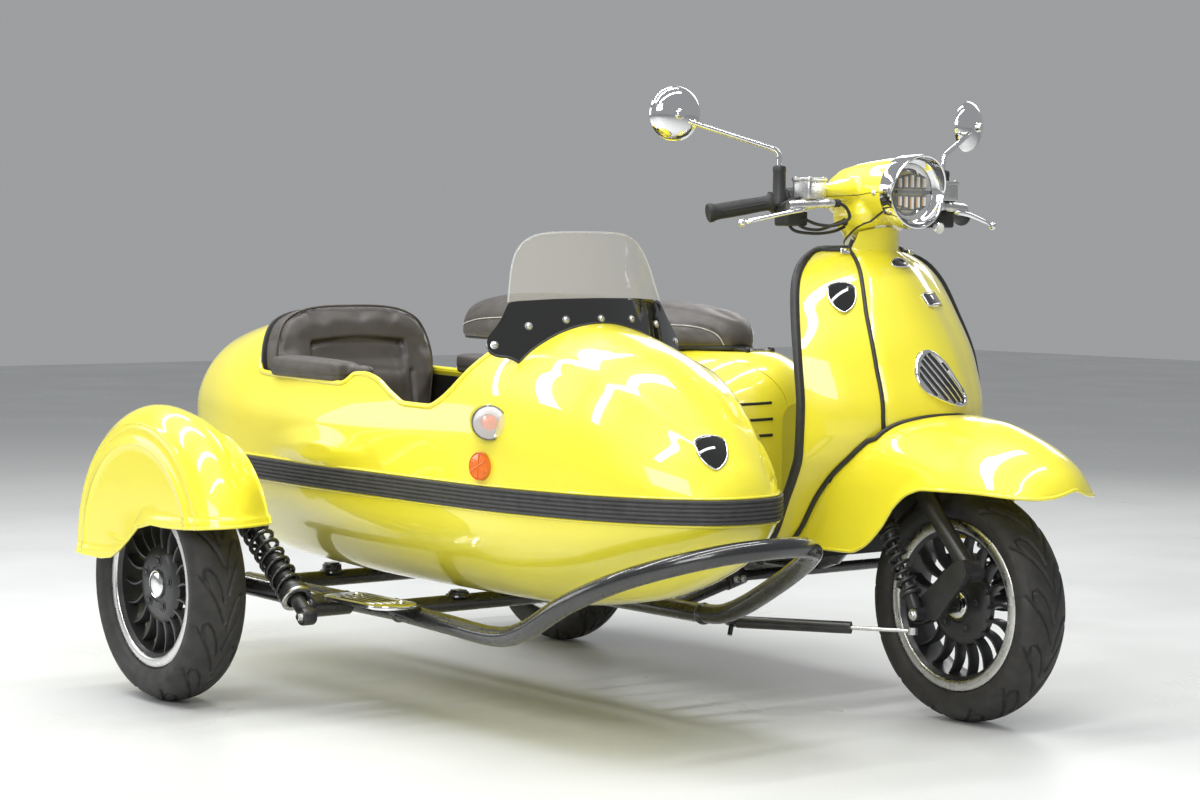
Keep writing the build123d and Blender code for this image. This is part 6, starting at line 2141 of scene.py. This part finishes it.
def make_headlight():
    """Chrome rim with its peak, clear glass, and a reflector with two rows of light bars behind it."""
    around, profile = 96, []
    for x, radius in ((-0.006, 0.0700), (-0.006, 0.0728), (0.004, 0.0738), (0.016, 0.0742),
                      (0.024, 0.0748), (0.0275, 0.0742), (0.0285, 0.0722), (0.0270, 0.0700),
                      (0.0215, 0.0675), (0.0150, 0.0630), (0.0120, 0.0580), (0.0100, 0.0562),
                      (0.0020, 0.0560)):
        profile.append((x, radius))
    verts = []
    for step in range(around):
        angle = 2 * pi * step / around
        peak = max(0.0, sin(angle)) ** 0.7
        for x, radius in profile:
            share = float(np.clip((x - 0.004) / 0.0235, 0, 1)) if radius > 0.069 else 0.0
            push = 0.019 * peak * share
            verts.append((LAMP_X + x + push, (radius - 0.002 * peak * share) * cos(angle),
                          LAMP_Z + (radius - 0.001 * share) * sin(angle)))
    ring = link("headlight_ring_dressed", verts, grid_faces(around, len(profile), True, True), "chrome")
    crease(outward(placed(ring)), 35)
    finish_piece(ring, "steering", ["headlight_ring"])
    glass_rows = [(0.0085, 0.0555)]
    for radius in (0.0550, 0.052, 0.047, 0.04, 0.031, 0.021, 0.010, 0.0):
        glass_rows.append((0.0120 + 0.0120 * (1 - (radius / 0.0555) ** 2), radius))
    glass = lathe("headlight_lens_dressed", glass_rows, at(LAMP_X, 0, LAMP_Z), "lens_clear", 72, "X")
    finish_piece(glass, "steering", ["headlight_lens"])
    bowl_rows = [(0.0075, 0.0556), (0.0060, 0.0500), (0.0020, 0.0440), (-0.0030, 0.0400), (-0.0040, 0.0)]
    bowl = lathe("headlight_bowl", bowl_rows, at(LAMP_X, 0, LAMP_Z), "chrome", 72, "X")
    finish_piece(crease(bowl, 30), "steering")
    dark, light = [], []
    dark.append(moved(prism("bar", rounded_outline(0.098, 0.0060, 0.0025), 0.0005, 0.0085, "black_plastic",
                            "X"), 0, 0, 0))
    for row in (-1, 1):
        for column in range(5):
            y = (column - 2) * 0.0165
            height = 0.030 - 0.0035 * abs(column - 2)
            z = row * (0.0065 + height / 2)
            cell = prism("cell", rounded_outline(0.0130, height, 0.002), -0.0035, 0.0030, "black_plastic",
                         "X")
            dark.append(moved(cell, 0, y, z))
            strip = prism("strip", rounded_outline(0.0042, height * 0.82, 0.0018), 0.0028, 0.0052,
                          "lamp_white", "X", 0.0006)
            light.append(moved(strip, 0, y + 0.0018, z))
            warm = prism("warm", rounded_outline(0.0020, height * 0.82, 0.0008), 0.0028, 0.0046, "lamp_warm",
                         "X", 0.0004)
            light.append(moved(warm, 0, y - 0.0028, z))
    for piece in dark + light:
        moved(piece, *at(LAMP_X + 0.0075, 0, LAMP_Z))
    gather("headlight_cells", dark, "steering")
    gather("headlight_strips", light, "steering")


BAR_INNER = Vector((HEAD_X + 0.023, -0.140, 1.026))
BAR_OUTER = Vector((HEAD_X - 0.068, -0.352, 0.986))
GRIP_ROWS = (
    (0.000, 0.0110), (0.000, 0.0205), (0.002, 0.0215), (0.005, 0.0215), (0.007, 0.0180), (0.012, 0.0150),
    (0.030, 0.0148), (0.060, 0.0158), (0.090, 0.0160), (0.112, 0.0158), (0.122, 0.0168), (0.126, 0.0186),
    (0.130, 0.0190), (0.134, 0.0186), (0.1355, 0.0165), (0.1345, 0.0120), (0.1345, 0.0),
)


SWITCH_ROWS = (
    (0.000, 0.012), (0.000, 0.0205), (0.003, 0.0225), (0.018, 0.0228), (0.020, 0.0215), (0.022, 0.0228),
    (0.038, 0.0225), (0.042, 0.0200), (0.042, 0.012),
)
BOOT_ROWS = (
    (0.000, 0.0), (0.000, 0.0160), (0.012, 0.0158), (0.018, 0.0132), (0.062, 0.0126), (0.066, 0.0134),
    (0.072, 0.0134), (0.076, 0.0118), (0.078, 0.0070), (0.078, 0),
)
PUMP_ROWS = (
    (0, 0), (0, 0.0085), (0.006, 0.0100), (0.060, 0.0100), (0.062, 0.0085), (0.080, 0.0085),
    (0.082, 0.0098), (0.092, 0.0098), (0.094, 0.0070), (0.106, 0.0065), (0.106, 0),
)
LEVER_ROWS = (
    # x from the steering head, y, z, half-width, half-height
    (0.052, -0.205, 0.9945, 0.0085, 0.0050), (0.056, -0.222, 0.9930, 0.0095, 0.0050),
    (0.056, -0.245, 0.9895, 0.0085, 0.0048), (0.050, -0.272, 0.9840, 0.0070, 0.0045),
    (0.041, -0.306, 0.9765, 0.0060, 0.0042), (0.030, -0.337, 0.9685, 0.0052, 0.0040),
)
# Brake hoses and cables, x from the steering head; the second runs on into the headset
HOSES = (
    ((0.068, -0.128, 1.008), (0.070, -0.112, 1.000), (0.066, -0.098, 0.980), (0.060, -0.125, 0.965),
     (0.045, -0.165, 0.966), (0.030, -0.190, 0.978)),
    ((0.020, -0.205, 0.982), (0.030, -0.195, 0.962), (0.040, -0.160, 0.955)),
    ((0.008, -0.215, 0.985), (0.020, -0.208, 0.956), (0.034, -0.170, 0.948), (0.030, -0.110, 0.952),
     (0.022, -0.070, 0.962)),
    ((0.068, 0.128, 1.008), (0.070, 0.114, 1.000), (0.066, 0.098, 0.982), (0.052, 0.088, 0.968)),
)


def flip(point, side):
    """The right side's point, or its mirror image on the left."""
    return Vector((point[0], -side * point[1], point[2]))


def make_handlebar(cable_end):
    rubber, black, bright, chromed = [], [], [], []
    run = BAR_OUTER - BAR_INNER
    for side in (-1, 1):
        def spot(x, y, z):
            """Place beside the steering head on this side, given as on the right."""
            return flip((HEAD_X + x, y, z), side) + MOVE

        way = flip(run, side)
        grip_from = flip(BAR_INNER + run * 0.42, side)
        ribs = [turned("grip", GRIP_ROWS, grip_from + MOVE, way, "grip_rubber", 48, 40)]
        for rib in range(3):
            turn = facing(way) @ Matrix.Rotation(2 * pi * rib / 3, 4, "Z")
            heights = np.linspace(0.020, 0.110, 8)
            path = [MOVE + grip_from + (turn @ Vector((0.0152, 0, height))) for height in heights]
            ribs.append(tube("rib", path, 0.0016, "grip_rubber", 8))
        rubber.append(join("grip", ribs))
        bright.append(turned("bar", rod(0, 0.098, 0.0110), flip(BAR_INNER, side) + MOVE, way, "silver", 28))
        housing = flip(BAR_INNER + run * 0.20, side) + MOVE
        black.append(turned("switch", SWITCH_ROWS, housing, way, "black_plastic", 40))
        pod = prism("pod", rounded_outline(0.042, 0.060, 0.010), -0.0215, 0.0215, "black_plastic", edge=0.005)
        black.append(moved(pod, *spot(0.010, -0.203, 0.9835)))
        button = [(0, 0), (0, 0.0055), (0.004, 0.0055), (0.005, 0.0045), (0.005, 0)]
        colour = "lens_red" if side < 0 else "lens_amber"
        black.append(turned("button", button, spot(-0.0100, -0.196, 0.990), (-1, 0, 0.2), colour, 20))
        black.append(turned("boot", BOOT_ROWS, spot(0.000, -0.2255, 1.004), (0, 0, 1), "black_plastic", 36))
        clamp = lofted("clamp", [(flip((HEAD_X + 0.0, -0.226, 1.004), side), (0.022, 0, 0), (0, 0.015, 0)),
                                 (flip((HEAD_X + 0.034, -0.218, 1.006), side), (0.0, 0, 0.012),
                                  (0, 0.015, 0))],
                       "black_plastic", 24, 3)
        black.append(placed(clamp))
        stem = [(HEAD_X + 0.000, -0.2255, 1.080), (HEAD_X + 0.000, -0.2260, 1.1010),
                (HEAD_X - 0.004, -0.2330, 1.1120), (HEAD_X - 0.085, -0.3880, 1.1650),
                (HEAD_X - 0.098, -0.4000, 1.1745)]
        stem_line = [flip(q, side) + MOVE for q in bent_path(stem, 0.012)]
        chromed.append(tube("stem", stem_line, 0.0052, "chrome", 14))
        tank = [prism("tank", rounded_outline(0.046, 0.054, 0.006), 0.0, 0.034, "silver", edge=0.0022),
                prism("lid", rounded_outline(0.050, 0.058, 0.007), 0.0335, 0.0405, "silver", edge=0.0015)]
        for a in (-1, 1):
            for b in (-1, 1):
                place = (a * 0.018, b * 0.021, 0.0403)
                tank.append(bolt("cap", place, (0, 0, 1), 0.0028, 0.0026, "silver", "pan"))
        tank = join("tank", tank)
        tank.data.transform(Matrix.Rotation(side * radians(-8), 4, "Z"))
        bright.append(moved(tank, *spot(0.040, -0.182, 1.0165)))
        pump_way = flip((0.020, 0.110, 0.006), side)
        bright.append(turned("pump", PUMP_ROWS, spot(0.046, -0.243, 1.002), pump_way, "silver", 32))
        banjo = [(0, 0), (0, 0.0080), (0.010, 0.0080), (0.012, 0.0060), (0.012, 0)]
        black.append(turned("banjo", banjo, spot(0.066, -0.138, 1.0075), pump_way, "black_plastic", 20))
        bright.append(bolt("pivot", spot(0.053, -0.205, 1.000), (0, 0, 1), 0.0055, 0.0060, "silver"))
        rows = []
        for x, y, z, wide, tall in LEVER_ROWS:
            rows.append((flip((HEAD_X + x, y, z), side), (wide, -side * wide * 0.25, 0), (0, 0, tall)))
        chromed.append(placed(lofted("lever", rows, "chrome", 20, 2.4)))
        turns = np.linspace(0, pi, 15)
        ball = [(0.0078 * sin(turn - pi / 2), 0.0078 * cos(turn - pi / 2)) for turn in turns]
        chromed.append(turned("ball", ball, spot(0.027, -0.345, 0.9670), (0, 0, 1), "chrome", 24))
    hoses = [[(HEAD_X + x, y, z) for x, y, z in line] for line in HOSES]
    hoses[1] += [tuple(cable_end + Vector((0.002, -0.012, 0.0))), tuple(cable_end)]
    for points in hoses:
        black.append(tube("hose", shifted(spline_points(points, 8)), 0.0032, "black_plastic", 10))
    pilot, pilot_way = at(HEAD_X + 0.058, 0.150, 0.962), (1, -0.1, -0.1)
    cup = [(0, 0), (0, 0.0085), (0.012, 0.0115), (0.013, 0.0105), (0.012, 0.0)]
    chromed.append(turned("pilot_cup", cup, pilot, pilot_way, "chrome", 28))
    glass = [(0.0115, 0.0102), (0.015, 0.0090), (0.017, 0.0055), (0.0175, 0)]
    finish_piece(turned("pilot_lens", glass, pilot, pilot_way, "lamp_white", 28), "steering")
    arm = [at(HEAD_X + x, y, z) for x, y, z in ((0.036, 0.160, 1.002), (0.046, 0.156, 0.978),
                                                (0.060, 0.151, 0.963))]
    black.append(tube("pilot_arm", arm, 0.0048, "black_plastic", 12))
    gather("grips_dressed", rubber, "steering", ["grips"])
    gather("bar_controls", black, "steering")
    gather("levers_dressed", bright, "steering", ["levers"])
    gather("lever_blades", chromed, "steering")


def make_mirrors():
    shells, glasses = [], []
    for side in (-1, 1):
        head = flip((HEAD_X - 0.104, -0.405, 1.180), side) + MOVE
        way = flip((-1, 0.28, 0.05), side).normalized()
        dome = [(-0.0210, 0), (-0.0205, 0.010), (-0.0180, 0.024), (-0.0130, 0.038), (-0.0060, 0.0485),
                (0.0010, 0.0530), (0.0050, 0.0540), (0.0060, 0.0530), (0.0052, 0.0500), (0.0040, 0.0495),
                (0.0040, 0.0)]
        shells.append(turned("dome", dome, head, way, "chrome", 64, 30))
        knob = turned("knob", [(-0.030, 0), (-0.030, 0.0075), (-0.024, 0.0100), (-0.016, 0.0120),
                               (-0.016, 0)], head, way, "chrome", 28)
        shells.append(knob)
        glasses.append(turned("glass", rod(0.0041, 0.0046, 0.0494), head, way, "mirror_glass", 64, 30))
    gather("mirrors_dressed", shells, "steering", ["mirrors"])
    gather("mirror_glasses", glasses, "steering")


make_camera()
make_lights()
make_materials()
dress_frame()
make_floor()
for wheel, wheel_body, hub, tyre_radius, tyre_width in WHEELS:
    make_tyre(f"{wheel}_tyre_dressed", f"{wheel}_tyre", wheel_body, at(*hub), tyre_radius, tyre_width)
    make_rim(f"{wheel}_rim_dressed", f"{wheel}_rim", wheel_body, hub, DISC_Y)

make_car_shell()
make_car_hull()
make_belt()
make_front_fender()
make_legshield()
make_front_panel()
make_shield_trim()
make_sidecar_fender()
make_windscreen()
make_sidecar_lamps()
make_badges()
make_crash_bar()
make_chassis_details()
make_step()
make_sidecar_suspension()
make_backrest()
make_cushion()
make_armrests()
make_scooter_seat()
make_headlight()
make_handlebar(make_headset())
make_mirrors()
make_horn_cover()
make_glovebox()
make_bodywork()
make_tail()
make_engine()
make_cockpit_lining()
make_front_shocks()
